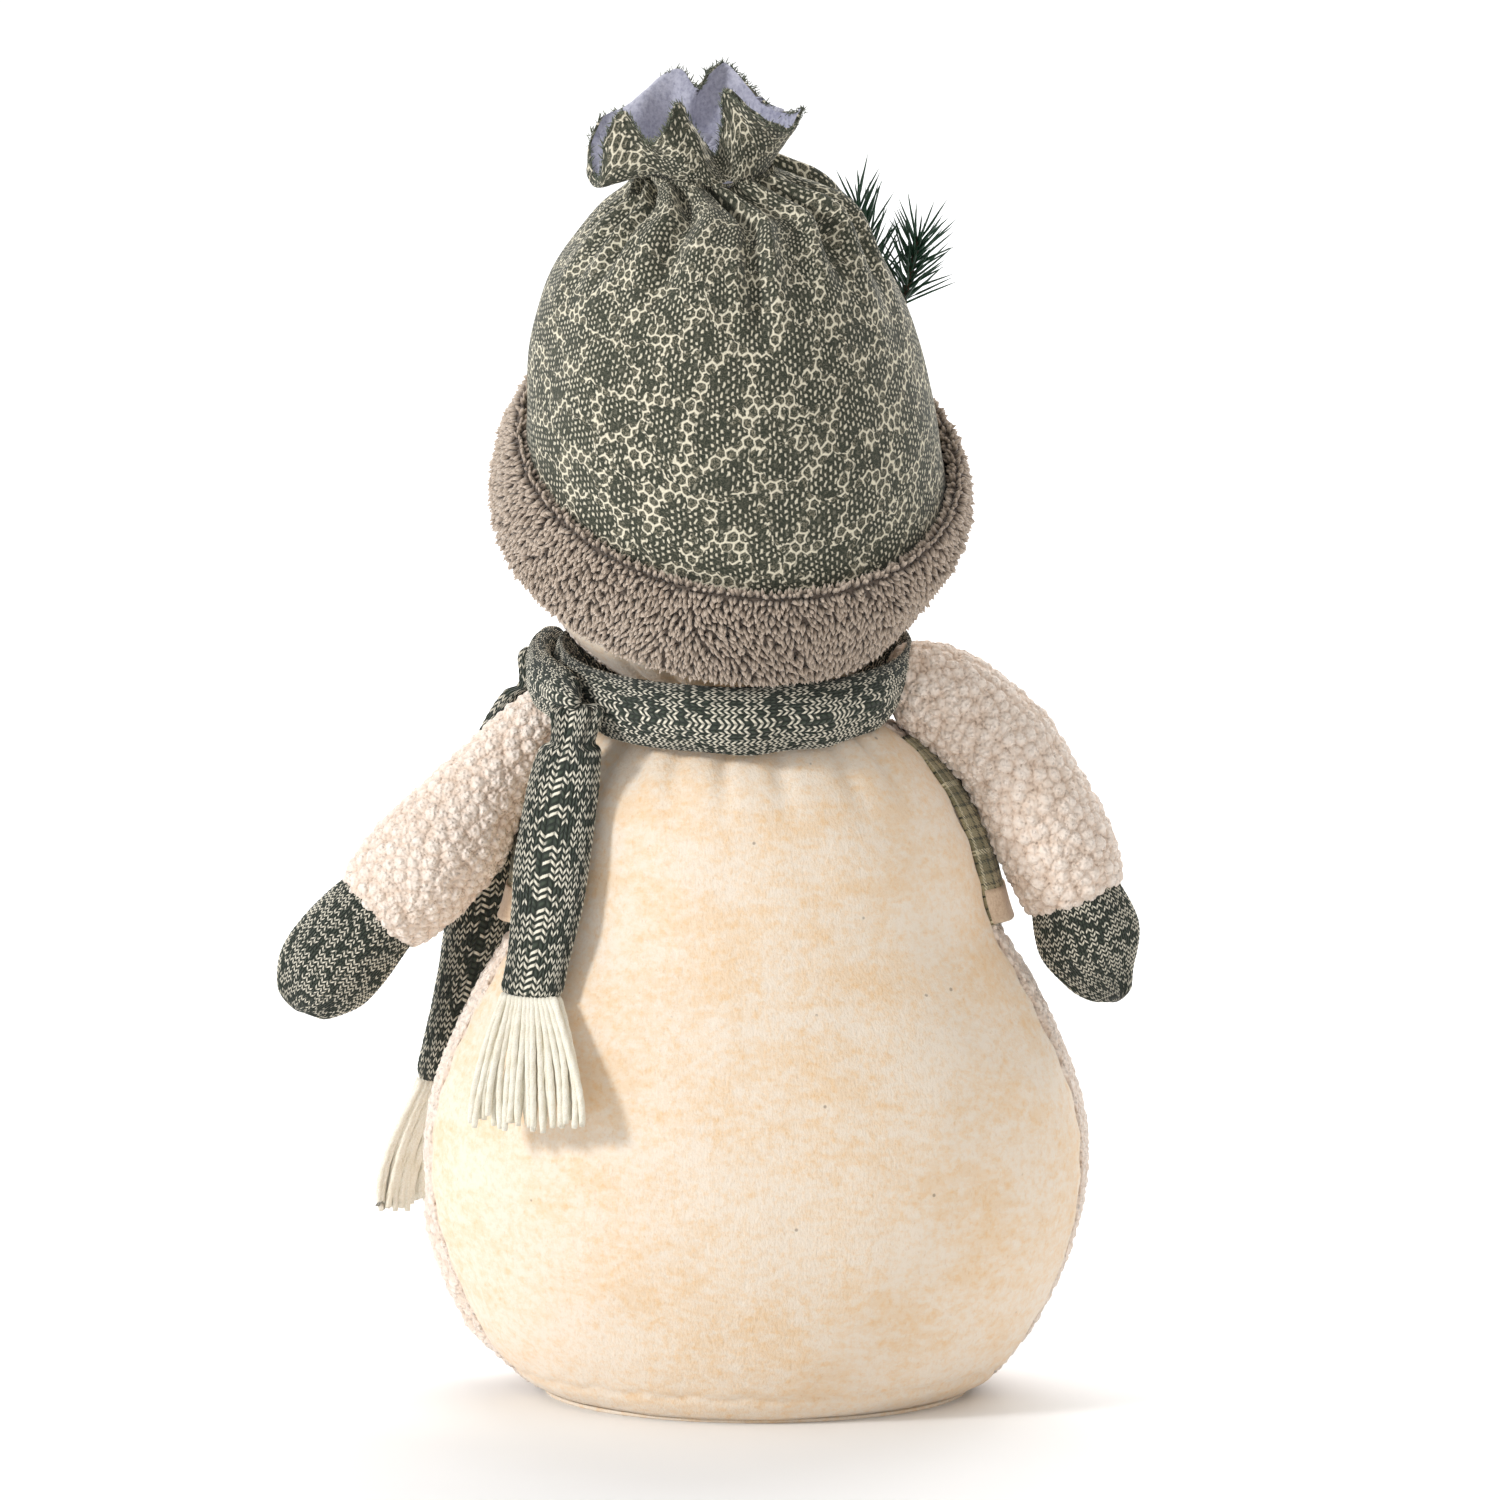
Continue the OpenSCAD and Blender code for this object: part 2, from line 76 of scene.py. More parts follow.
def spline(rows: Rows, u: np.ndarray) -> np.ndarray:
    """Smooth values along a list of control rows.

    Args:
        rows: the control rows, each of the same length.
        u: places along the list, from 0 to 1.

    Returns:
        One row of values for each place.
    """
    table = np.asarray(rows, float)
    last = len(table) - 1
    s = np.clip(np.clip(np.atleast_1d(u), 0, 1) * last, 0, last - 1e-6)
    i = np.floor(s).astype(int)
    f = (s - i)[:, None]
    a, b = table[np.maximum(i - 1, 0)], table[i]
    c, d = table[i + 1], table[np.minimum(i + 2, last)]
    cubic = 3 * b - a - 3 * c + d
    return 0.5 * (2 * b + f * (c - a) + f**2 * (2 * a - 5 * b + 4 * c - d) + f**3 * cubic)


def evenly(rows: Rows, across: int, up: int, v: np.ndarray) -> np.ndarray:
    """Control rows read at even steps of the outline's length.

    Args:
        rows: the control rows.
        across: column of the rows that holds the width.
        up: column of the rows that holds the height.
        v: places along the outline, from 0 to 1.

    Returns:
        One row of values for each place.
    """
    u = np.linspace(0, 1, 401)
    path = spline(rows, u)[:, [across, up]]
    run = np.concatenate([[0], np.cumsum(np.linalg.norm(np.diff(path, axis=0), axis=1))])
    return spline(rows, np.interp(v, run / run[-1], u))


def power(value: np.ndarray, exponent: float) -> np.ndarray:
    """A signed power, which squares off a round section."""
    return np.sign(value) * np.abs(value) ** exponent


def step(value: np.ndarray, low: float, high: float) -> np.ndarray:
    """A smooth step from 0 at low to 1 at high."""
    t = np.clip((value - low) / (high - low), 0, 1)
    return t * t * (3 - 2 * t)


def ripple(points: np.ndarray, size: float, seed: float = 0.0) -> np.ndarray:
    """Smooth noise from -1 to 1 at points in millimetres, with lumps of a size."""
    shift = Vector((seed, seed * 0.7, -seed))
    return np.array([noise.noise(Vector(p) / size + shift) for p in points])


def nubs(points: np.ndarray, size: float) -> np.ndarray:
    """Height from 0 to 1 of round curls of pile at points in millimetres."""
    out = np.empty(len(points))
    for k, p in enumerate(points):
        near = noise.voronoi(Vector(p) / size)[0]
        fine = noise.voronoi(Vector(p) / (size * 0.45))[0]
        gap = min((near[1] - near[0]) * 2.0, 1.0)
        small = min((fine[1] - fine[0]) * 1.8, 1.0)
        big = 0.5 * (1 - min(near[0] / 0.85, 1.0) ** 2) + 0.5 * math.sqrt(max(gap, 0.0))
        out[k] = 0.8 * big + 0.2 * math.sqrt(max(small, 0.0))
    return out


# ------------------------------------------------------------------- cloth


def new_object(name: str, mesh: bpy.types.Mesh) -> bpy.types.Object:
    """An object at the origin that shows a mesh."""
    obj = bpy.data.objects.new(name, mesh)
    bpy.context.scene.collection.objects.link(obj)
    return obj


def from_bmesh(name: str, bm: bmesh.types.BMesh) -> bpy.types.Object:
    """A smooth-shaded object made from a bmesh, which is freed."""
    for face in bm.faces:
        face.smooth = True
    mesh = bpy.data.meshes.new(name)
    bm.to_mesh(mesh)
    bm.free()
    return new_object(name, mesh)


def note(mesh: bpy.types.Mesh, name: str, values: np.ndarray) -> None:
    """Stores one number for each vertex of a mesh."""
    layer = mesh.attributes.get(name) or mesh.attributes.new(name, "FLOAT", "POINT")
    layer.data.foreach_set("value", values.astype(np.float32))


@dataclass
class Cloth:
    """A rectangle of cloth that is wrapped round a shape.

    Args:
        name: name of the piece.
        cols: squares along its width.
        rows: squares along its length.
        place: puts each point of the cloth, in millimetres.
        relief: height of each point over that, in millimetres, and its lift from 0 to 1.
        measure: width and length that the pattern's own coordinates run to.
        closed: whether its edges or its ends are sewn together.
        hem: how far the open edges turn in, in millimetres.
        turned: whether the pattern's own two coordinates are swapped.
    """

    name: str
    cols: int
    rows: int
    place: Place
    relief: Relief | None = None
    measure: tuple[float, float] = (1.0, 1.0)
    closed: bool = True
    hem: float = 0.0
    turned: bool = False

    def normals(self, u: np.ndarray, v: np.ndarray) -> np.ndarray:
        """Outward directions of the wrapped cloth at places on it."""
        e = 1e-3
        across = self.place(np.minimum(u + e, 1), v) - self.place(np.maximum(u - e, 0), v)
        along = self.place(u, np.minimum(v + e, 1)) - self.place(u, np.maximum(v - e, 0))
        out = np.cross(across, along)
        size = np.linalg.norm(out, axis=1, keepdims=True)
        return out / np.maximum(size, 1e-12)

    def build(self) -> bpy.types.Object:
        """Wraps the cloth and returns the piece."""
        bm = bmesh.new()
        bm.loops.layers.uv.new("cloth")
        bmesh.ops.create_grid(
            bm, x_segments=self.cols, y_segments=self.rows, size=1, calc_uvs=True
        )
        mesh = bpy.data.meshes.new(self.name)
        bm.to_mesh(mesh)
        bm.free()
        flat = np.empty(len(mesh.vertices) * 3)
        mesh.vertices.foreach_get("co", flat)
        u, v = (flat[0::3] + 1) / 2, (flat[1::3] + 1) / 2
        points = self.place(u, v)
        lift = np.ones(len(u))
        if self.relief is not None:
            height, lift = self.relief(u, v, points)
            points = points + self.normals(u, v) * height[:, None]
        mesh.vertices.foreach_set("co", (points * MM).astype(np.float32).ravel())
        note(mesh, "lift", lift)
        corners = mesh.uv_layers["cloth"].data
        uv = np.empty(len(corners) * 2, np.float32)
        corners.foreach_get("uv", uv)
        uv[0::2] *= self.measure[0]
        uv[1::2] *= self.measure[1]
        if self.turned:
            uv = uv.reshape(-1, 2)[:, ::-1].ravel()
        corners.foreach_set("uv", uv)
        bm = bmesh.new()
        bm.from_mesh(mesh)
        bpy.data.meshes.remove(mesh)
        if self.closed:
            bmesh.ops.remove_doubles(bm, verts=bm.verts[:], dist=2e-6)
        if self.hem:
            turn_in(bm, self.hem * MM)
        return from_bmesh(self.name, bm)


def turn_in(bm: bmesh.types.BMesh, depth: float) -> None:
    """Turns the open edges of a cloth inwards, as a seam allowance, by a depth in metres."""
    bm.normal_update()
    edges = [e for e in bm.edges if e.is_boundary]
    inward = {v: -v.normal.copy() for e in edges for v in e.verts}
    places = {tuple(v.co): n for v, n in inward.items()}
    made = bmesh.ops.extrude_edge_only(bm, edges=edges)["geom"]
    for vert in (g for g in made if isinstance(g, bmesh.types.BMVert)):
        vert.co += places.get(tuple(vert.co), Vector((0, 0, 0))) * depth
    bmesh.ops.recalc_face_normals(bm, faces=bm.faces[:])
    bm.normal_update()


def scatter(name: str, template: bmesh.types.BMesh, frames: np.ndarray) -> bpy.types.Object:
    """Many copies of one small shape.

    Args:
        name: name of the piece.
        template: the shape, which is freed; its height runs from 0 to 1 along Z.
        frames: one 4 by 4 matrix for each copy, in millimetres.

    Returns:
        The piece, with "tip" along each copy and "tint" for each copy, from 0 to 1.
    """
    shape = np.array([[*v.co, 1.0] for v in template.verts])
    count = len(frames)
    per = (len(template.verts), len(template.edges), len(template.faces))
    have = 1
    while have < count:
        take = min(have, count - have)
        template.verts.ensure_lookup_table()
        template.edges.ensure_lookup_table()
        template.faces.ensure_lookup_table()
        part = (
            template.verts[: take * per[0]]
            + template.edges[: take * per[1]]
            + template.faces[: take * per[2]]
        )
        bmesh.ops.duplicate(template, geom=part)
        have += take
    obj = from_bmesh(name, template)
    points = np.einsum("nij,vj->nvi", frames[:, :3, :], shape).reshape(-1, 3) * MM
    obj.data.vertices.foreach_set("co", points.astype(np.float32).ravel())
    note(obj.data, "tip", np.tile(shape[:, 2], count))
    tint = np.random.RandomState(count).rand(count)
    note(obj.data, "tint", np.repeat(tint, len(shape)))
    obj.data.update()
    return obj


def aim(at: np.ndarray, along: np.ndarray, width: float, length: float, spin: float) -> np.ndarray:
    """The frame of one scattered copy.

    Args:
        at: where its foot stands, in millimetres.
        along: the direction that it points in.
        width: its width in millimetres.
        length: its length in millimetres.
        spin: turn about its own length, in radians.

    Returns:
        A 4 by 4 matrix.
    """
    turn = Vector(along).to_track_quat("Z", "Y").to_matrix() @ Matrix.Rotation(spin, 3, "Z")
    out = np.eye(4)
    out[:3, :3] = np.array(turn) * np.array([width, width, length])
    out[:3, 3] = at
    return out


def next_ring(bm: bmesh.types.BMesh, edges: Sequence[bmesh.types.BMEdge]) -> tuple[list, list]:
    """Extrudes a ring of edges, and returns the vertices and edges of the new ring."""
    made = bmesh.ops.extrude_edge_only(bm, edges=edges)["geom"]
    ring = [g for g in made if isinstance(g, bmesh.types.BMVert)]
    new_edges = [g for g in made if isinstance(g, bmesh.types.BMEdge)]
    return ring, [e for e in new_edges if all(v in ring for v in e.verts)]


def thicken(obj: bpy.types.Object, depth: float) -> bpy.types.Modifier:
    """Thickens a cloth inwards by a depth in millimetres."""
    made = obj.modifiers.new("thickness", "SOLIDIFY")
    made.thickness = depth * MM
    made.offset = -1
    return made


def lock_shape(sides: int, widths: Sequence[float], curl: float) -> bmesh.types.BMesh:
    """A short tapering lock, needle or thread that stands along Z and leans to one side.

    Args:
        sides: sides of its section.
        widths: its width at even steps up; the last step closes to a point.
        curl: how far its tip leans over, as a share of its width.

    Returns:
        A bmesh one unit high.
    """
    bm = bmesh.new()
    ring = bmesh.ops.create_circle(bm, cap_ends=False, segments=sides, radius=widths[0])["verts"]
    edges = list({e for v in ring for e in v.link_edges})
    levels = len(widths)
    for k in range(1, levels):
        ring, edges = next_ring(bm, edges)
        height = k / levels
        ratio = widths[k] / widths[k - 1]
        centre = sum((v.co for v in ring), Vector()) / len(ring)
        bmesh.ops.scale(bm, vec=(ratio, ratio, 1), verts=ring, space=Matrix.Translation(-centre))
        lean = curl * (height**2 - ((k - 1) / levels) ** 2)
        bmesh.ops.translate(bm, vec=(lean, 0, 1 / levels), verts=ring)
    ring, _ = next_ring(bm, edges)
    tip = sum((v.co for v in ring), Vector()) / len(ring)
    bmesh.ops.pointmerge(bm, verts=ring, merge_co=tip + Vector((curl * 0.3, 0, 1 / levels)))
    bmesh.ops.recalc_face_normals(bm, faces=bm.faces[:])
    bm.normal_update()
    return bm


def yarn(
    bm: bmesh.types.BMesh, path: Sequence[Vector], radius: float, turn: float, plies: int
) -> None:
    """Adds one plied yarn along a path.

    Args:
        bm: the bmesh that takes it.
        path: points that it follows, in metres.
        radius: its radius in metres.
        turn: twist from one point to the next, in radians.
        plies: number of plies.
    """
    sides = plies * 4
    ring = bmesh.ops.create_circle(bm, cap_ends=True, segments=sides, radius=1)["verts"]
    for vert in ring:
        angle = math.atan2(vert.co.y, vert.co.x)
        vert.co *= 0.84 + 0.16 * abs(math.cos(plies * angle / 2))
    unit = [v.co.copy() for v in ring]
    edges = list({e for v in ring for e in v.link_edges})
    for k, point in enumerate(path):
        if k:
            ring, edges = next_ring(bm, edges)
        ahead = path[min(k + 1, len(path) - 1)] - path[max(k - 1, 0)]
        quat = ahead.to_track_quat("Z", "Y")
        swell = radius * (0.8 if k in (0, len(path) - 1) else 1.0)
        frame_at = Matrix.Translation(point) @ quat.to_matrix().to_4x4()
        frame_at = frame_at @ Matrix.Rotation(turn * k, 4, "Z") @ Matrix.Scale(swell, 4)
        for vert, co in zip(ring, unit):
            vert.co = frame_at @ co
    bmesh.ops.edgeloop_fill(bm, edges=edges)


# ----------------------------------------------------------------- shading


class Coords(Enum):
    """What a pattern is laid out on."""

    OBJECT = "Object"
    CLOTH = "UV"


class Value:
    """A socket that takes part in sums, each of which adds a Math node."""

    def __init__(self, paint: "Paint", socket: Link) -> None:
        """Wraps a socket of a material."""
        self.paint = paint
        self.socket = socket

    def maths(self, operation: str, *others: "Value | float") -> "Value":
        """Result of a Math node on this value and others."""
        inputs = {k: x for k, x in enumerate((self, *others))}
        made = self.paint.node("ShaderNodeMath", {"operation": operation}, inputs)
        return Value(self.paint, made.outputs[0])

    def __add__(self, other: "Value | float") -> "Value":
        """Sum."""
        return self.maths("ADD", other)

    __radd__ = __add__

    def __mul__(self, other: "Value | float") -> "Value":
        """Product."""
        return self.maths("MULTIPLY", other)

    __rmul__ = __mul__

    def __sub__(self, other: "Value | float") -> "Value":
        """Difference."""
        return self.maths("SUBTRACT", other)

    def __rsub__(self, other: float) -> "Value":
        """A number less this value."""
        return self.maths("MULTIPLY_ADD", -1.0, other)

    def __truediv__(self, other: float) -> "Value":
        """Quotient by a number."""
        return self.maths("DIVIDE", other)

    def floor(self) -> "Value":
        """Whole part."""
        return self.maths("FLOOR")

    def fract(self) -> "Value":
        """Part after the point."""
        return self.maths("FRACT")

    def abs(self) -> "Value":
        """Size without sign."""
        return self.maths("ABSOLUTE")

    def sin(self) -> "Value":
        """Sine of an angle in radians."""
        return self.maths("SINE")

    def least(self, other: "Value | float") -> "Value":
        """Smaller of two."""
        return self.maths("MINIMUM", other)

    def most(self, other: "Value | float") -> "Value":
        """Larger of two."""
        return self.maths("MAXIMUM", other)

    def above(self, other: "Value | float") -> "Value":
        """1 where this is larger, else 0."""
        return self.maths("GREATER_THAN", other)

    def between(self, low: float, high: float) -> "Value":
        """Smooth step from 0 at low to 1 at high; a high below low steps down."""
        if high < low:
            return 1.0 - self.between(high, low)
        settings = {"interpolation_type": "SMOOTHSTEP"}
        inputs = {"Value": self, "From Min": low, "From Max": high}
        return Value(self.paint, self.paint.node("ShaderNodeMapRange", settings, inputs).outputs[0])


class Paint:
    """A material under construction."""

    def __init__(self, name: str) -> None:
        """Makes an empty material with its shader and output."""
        self.material = bpy.data.materials.new(name)
        self.material.use_nodes = True
        self.tree = self.material.node_tree
        self.tree.nodes.clear()
        self.shader = self.node("ShaderNodeBsdfPrincipled", {}, {})
        out = self.node("ShaderNodeOutputMaterial", {}, {})
        self.tree.links.new(self.shader.outputs[0], out.inputs["Surface"])

    def node(self, kind: str, settings: dict, inputs: dict) -> bpy.types.Node:
        """One node.

        Args:
            kind: its type.
            settings: its own settings, set before its sockets.
            inputs: values or links of its sockets, by name, place or identifier.

        Returns:
            The node.
        """
        made = self.tree.nodes.new(kind)
        for key, value in settings.items():
            setattr(made, key, value)
        for key, value in inputs.items():
            if isinstance(key, str) and key not in made.inputs:
                socket = next(s for s in made.inputs if s.identifier == key)
            else:
                socket = made.inputs[key]
            if isinstance(value, Value):
                value = value.socket
            if isinstance(value, bpy.types.NodeSocket):
                self.tree.links.new(value, socket)
            else:
                socket.default_value = value
        return made

    def coords(self, kind: Coords, stretch: Sequence[float] = (1, 1, 1)) -> Link:
        """Coordinates of the surface, stretched along each axis."""
        base = self.node("ShaderNodeTexCoord", {}, {}).outputs[kind.value]
        inputs = {0: base, 1: tuple(stretch)}
        return self.node("ShaderNodeVectorMath", {"operation": "MULTIPLY"}, inputs).outputs[0]

    def split(self, vector: Link) -> tuple[Value, Value, Value]:
        """The three parts of a vector."""
        out = self.node("ShaderNodeSeparateXYZ", {}, {0: vector}).outputs
        return Value(self, out[0]), Value(self, out[1]), Value(self, out[2])

    def join(self, x: Value | float, y: Value | float, z: Value | float = 0.0) -> Link:
        """A vector from three parts."""
        return self.node("ShaderNodeCombineXYZ", {}, {0: x, 1: y, 2: z}).outputs[0]

    def stored(self, name: str) -> Value:
        """A number stored for each vertex."""
        return Value(self, self.node("ShaderNodeAttribute", {"attribute_name": name}, {}).outputs["Fac"])

    def noise(self, vector: Link, scale: float, detail: float = 3.0, rough: float = 0.5) -> Value:
        """Cloudy noise from 0 to 1."""
        inputs = {"Vector": vector, "Scale": scale, "Detail": detail, "Roughness": rough}
        return Value(self, self.node("ShaderNodeTexNoise", {}, inputs).outputs[0])

    def cells(self, vector: Link, scale: float, feature: str = "F1") -> Value:
        """Distances in a pattern of cells."""
        inputs = {"Vector": vector, "Scale": scale}
        flat = feature == "DISTANCE_TO_EDGE"
        settings = {"feature": feature, "voronoi_dimensions": "2D" if flat else "3D"}
        return Value(self, self.node("ShaderNodeTexVoronoi", settings, inputs).outputs["Distance"])

    def chance(self, vector: Link) -> Value:
        """A random number from 0 to 1 for each whole place."""
        return Value(self, self.node("ShaderNodeTexWhiteNoise", {}, {"Vector": vector}).outputs["Value"])

    def mix(self, share: Value | float, first: Link | Colour, second: Link | Colour) -> Link:
        """A colour between two others."""
        settings = {"data_type": "RGBA"}
        inputs = {"Factor_Float": share, "A_Color": first, "B_Color": second}
        made = self.node("ShaderNodeMix", settings, inputs)
        return next(s for s in made.outputs if s.identifier == "Result_Color")

    def finish(self, sockets: dict, height: Value, depth: float) -> bpy.types.Material:
        """Sets the shader.

        Args:
            sockets: values or links of the shader's sockets.
            height: height of the surface's fine relief, from 0 to 1.
            depth: depth of that relief in metres.

        Returns:
            The material.
        """
        bump = self.node("ShaderNodeBump", {}, {"Height": height, "Distance": depth, "Strength": 1.0})
        for key, value in {**sockets, "Normal": bump.outputs[0]}.items():
            if isinstance(value, Value):
                value = value.socket
            if isinstance(value, bpy.types.NodeSocket):
                self.tree.links.new(value, self.shader.inputs[key])
            else:
                self.shader.inputs[key].default_value = value
        return self.material


@dataclass(frozen=True)
class Felt:
    """Pressed felt with mottled warm patches and a fine grain of fibres."""

    name: str = "cream_felt"
    pale: Colour = dye("efe1cf")
    warm: Colour = dye("e9bf86")
    deep: Colour = dye("c99a66")
    mottle: float = 26.0

    def material(self) -> bpy.types.Material:
        """Builds the material."""
        p = Paint(self.name)
        at = p.coords(Coords.OBJECT)
        wide = p.coords(Coords.OBJECT, (1, 1, 1.9))
        cloud = p.noise(wide, self.mottle, 3, 0.6) * 0.5 + p.noise(wide, self.mottle * 6, 4, 0.65) * 0.5
        patch = cloud.between(0.42, 0.62)
        fine = p.noise(p.coords(Coords.OBJECT, (1, 1, 0.45)), 900, 3, 0.65)
        grain = p.noise(at, 340, 3, 0.7)
        speck = p.cells(at, 95).between(0.09, 0.05) * p.noise(at, 60, 1).between(0.58, 0.62)
        shade = p.mix(patch * 0.4 + grain.between(0.42, 0.72) * 0.36, self.pale, self.warm)
        shade = p.mix(fine.between(0.55, 0.8) * 0.3, shade, self.deep)
        shade = p.mix(speck * 0.55, shade, dye("6b5a48"))
        relief = fine * 0.6 + grain * 0.4
        sockets = {"Base Color": shade, "Roughness": 0.93, "Sheen Weight": 0.25, "Sheen Roughness": 0.5}
        return p.finish(sockets, relief, 0.0006)


@dataclass(frozen=True)
class Fleece:
    """Curly pile, with painted shade that darkens it from the tips of its curls into the crevices between
    them.
    """

    name: str = "cream_fleece"
    tip: Colour = dye("f8ebdf")
    mid: Colour = dye("e4cebb")
    # Colour of the painted shade deep in the crevices between curls.
    crevice_shade: Colour = dye("96765d")
    curl: float = 700.0

    def material(self) -> bpy.types.Material:
        """Builds the material."""
        p = Paint(self.name)
        at = p.coords(Coords.OBJECT)
        lift = p.stored("lift")
        loops = p.cells(at, self.curl, "SMOOTH_F1")
        cloud = p.noise(at, 45, 3)
        # Painted shade: the pile's colour darkens with the stored height of its curls, from the pale tips
        # down.
        shade = p.mix(lift.between(0.15, 0.95), self.mid, self.tip)
        # Painted shade towards the edges of each loop of pile.
        shade = p.mix(loops.between(0.35, 0.75) * 0.25, shade, self.mid)
        shade = p.mix(cloud.between(0.5, 0.8) * 0.25, shade, dye("e6cdb4"))
        # Painted shade in the crevices between curls.
        shade = p.mix(lift.between(0.34, 0.0) * 0.7, shade, self.crevice_shade)
        sockets = {"Base Color": shade, "Roughness": 0.95, "Sheen Weight": 0.35, "Sheen Roughness": 0.45}
        return p.finish(sockets, 1.0 - loops, 0.0014)


@dataclass(frozen=True)
class Marl:
    """Marled stocking stitch, one stitch to each unit of the cloth's own coordinates, with painted shade
    between the stitches.
    """

    name: str = "marled_knit"
    dark: Colour = dye("1c231c")
    mid: Colour = dye("465042")
    light: Colour = dye("f0e9d6")
    share: float = 0.72

    def material(self) -> bpy.types.Material:
        """Builds the material."""
        p = Paint(self.name)
        u, v, _ = p.split(p.coords(Coords.CLOTH))
        side = u.fract() - 0.5
        slanted = v + side.abs() * 1.5
        row = slanted.floor()
        leg = (side.abs() * (2 * math.pi)).sin().most(0.0)
        ply = (slanted.fract() * math.pi).sin()
        run = p.noise(p.join(u * 0.62, row * 5.3), 1.0, 2, 0.6)
        fleck = run.between(0.53 - self.share * 0.09, 0.55 - self.share * 0.09)
        fuzz = p.noise(p.coords(Coords.OBJECT), 1500, 2, 0.7)
        line = (slanted.fract() - 0.5 + (fuzz - 0.5) * 0.25).abs().between(0.3, 0.17)
        core = fleck * line * (leg * 0.7 + 0.45).least(1.0)
        # Painted shade in the gaps between stitch legs and rows, where the relief dips, over the yarn's own
        # marled tone.
        shade = p.mix((leg * ply).between(0.3, 1.1) * 0.7 + fuzz * 0.25, self.dark, self.mid)
        shade = p.mix(core * (0.75 + fuzz * 0.4).least(1.0), shade, self.light)
        sockets = {"Base Color": shade, "Roughness": 0.9, "Sheen Weight": 0.12, "Sheen Roughness": 0.5}
        return p.finish(sockets, leg * (ply * 0.7 + 0.3) + fuzz * 0.25, 0.0007)


@dataclass(frozen=True)
class HatCloth:
    """Fancy knit: dark patches with columns of cream flecks between bands of cream net.

    The cloth's own coordinates are in millimetres.
    """

    name: str = "hat_cloth"
    dark: Colour = dye("2a3023")
    grey: Colour = dye("98917c")
    cream: Colour = dye("ece4cc")
    cell: float = 4.6
    column: float = 2.2

    def net(self, p: Paint, u: Value, v: Value) -> Value:
        """Lines of a honeycomb net."""
        tall = math.sqrt(3)
        x, y = u / self.cell, v / self.cell
        ax, ay = x.fract() - 0.5, (y / tall).fract() * tall - tall / 2
        bx, by = (x + 0.5).fract() - 0.5, (y / tall + 0.5).fract() * tall - tall / 2
        near = (bx * bx + by * by).above(ax * ax + ay * ay)
        qx = (ax.abs() * near) + (bx.abs() * (1.0 - near))
        qy = (ay.abs() * near) + (by.abs() * (1.0 - near))
        reach = qx.most(qx * 0.5 + qy * (tall / 2))
        return (0.5 - reach).between(0.15, 0.06)

    def material(self) -> bpy.types.Material:
        """Builds the material."""
        p = Paint(self.name)
        cloth = p.coords(Coords.CLOTH)
        u, v, _ = p.split(cloth)
        wobble = p.noise(cloth, 0.11, 2)
        bent = p.join(u * 0.047 + wobble * 1.1, v * 0.06 + wobble * 1.2)
        edge = p.cells(bent, 1.0, "DISTANCE_TO_EDGE") + (p.noise(cloth, 0.07, 1) - 0.5) * 0.35
        patch = edge.between(0.09, 0.13)
        ripple_u = p.noise(cloth, 0.3, 1)
        uw, vw = u + wobble * 3.0 + ripple_u * 2.2, v + wobble * 5.0 + ripple_u * 1.2
        net = self.net(p, uw, vw)
        x = uw / self.column
        y = vw / 2.9 + x.floor() * 0.5
        spot = p.chance(p.join(x.floor(), y.floor()))
        fleck = (x.fract() - 0.5).abs().between(0.3, 0.14) * (y.fract() - 0.5).abs().between(0.34, 0.18)
        fleck = fleck * spot.between(0.05, 0.35)
        fuzz = p.noise(p.coords(Coords.OBJECT), 1300, 3, 0.75)
        stray = p.noise(p.join(u * 0.45 + wobble * 3.0, v * 2.2), 1.0, 3, 0.7).between(0.6, 0.7)
        haze = fuzz.between(0.4, 0.7) * (1.0 - patch * 0.75)
        ground = p.mix(haze, self.dark, self.grey)
        mark = patch * fleck * 0.9 + (1.0 - patch) * net
        shade = p.mix((mark * (0.65 + fuzz * 0.6)).least(1.0), ground, self.cream)
        shade = p.mix(stray * 0.28, shade, self.cream)
        sockets = {"Base Color": shade, "Roughness": 0.92, "Sheen Weight": 0.15, "Sheen Roughness": 0.5}
        return p.finish(sockets, mark * 0.7 + fuzz * 0.4, 0.0008)


@dataclass(frozen=True)
class Fur:
    """Short combed pile, pale at its tips, with painted shade darkening each lock towards its root, deep in
    the pile.
    """

    name: str = "taupe_fur"
    # Colour of the painted shade at the roots of the locks.
    root_shade: Colour = dye("3c3129")
    tip: Colour = dye("d6c4b2")

    def material(self) -> bpy.types.Material:
        """Builds the material."""
        p = Paint(self.name)
        at = p.coords(Coords.OBJECT)
        hair = p.noise(at, 1400, 2, 0.6)
        cloud = p.noise(at, 38, 2)
        along, tint = p.stored("tip"), p.stored("tint")
        # Painted shade: each lock darkens from its tip down to its root, with fibre streaks over it.
        shade = p.mix((along * 1.35 + hair * 0.5 - 0.4).least(1.0).most(0.0), self.root_shade, self.tip)
        shade = p.mix(tint * 0.3 + cloud.between(0.5, 0.8) * 0.15, shade, dye("93806e"))
        sockets = {"Base Color": shade, "Roughness": 0.85, "Sheen Weight": 0.4, "Sheen Roughness": 0.4}
        return p.finish(sockets, hair, 0.0005)


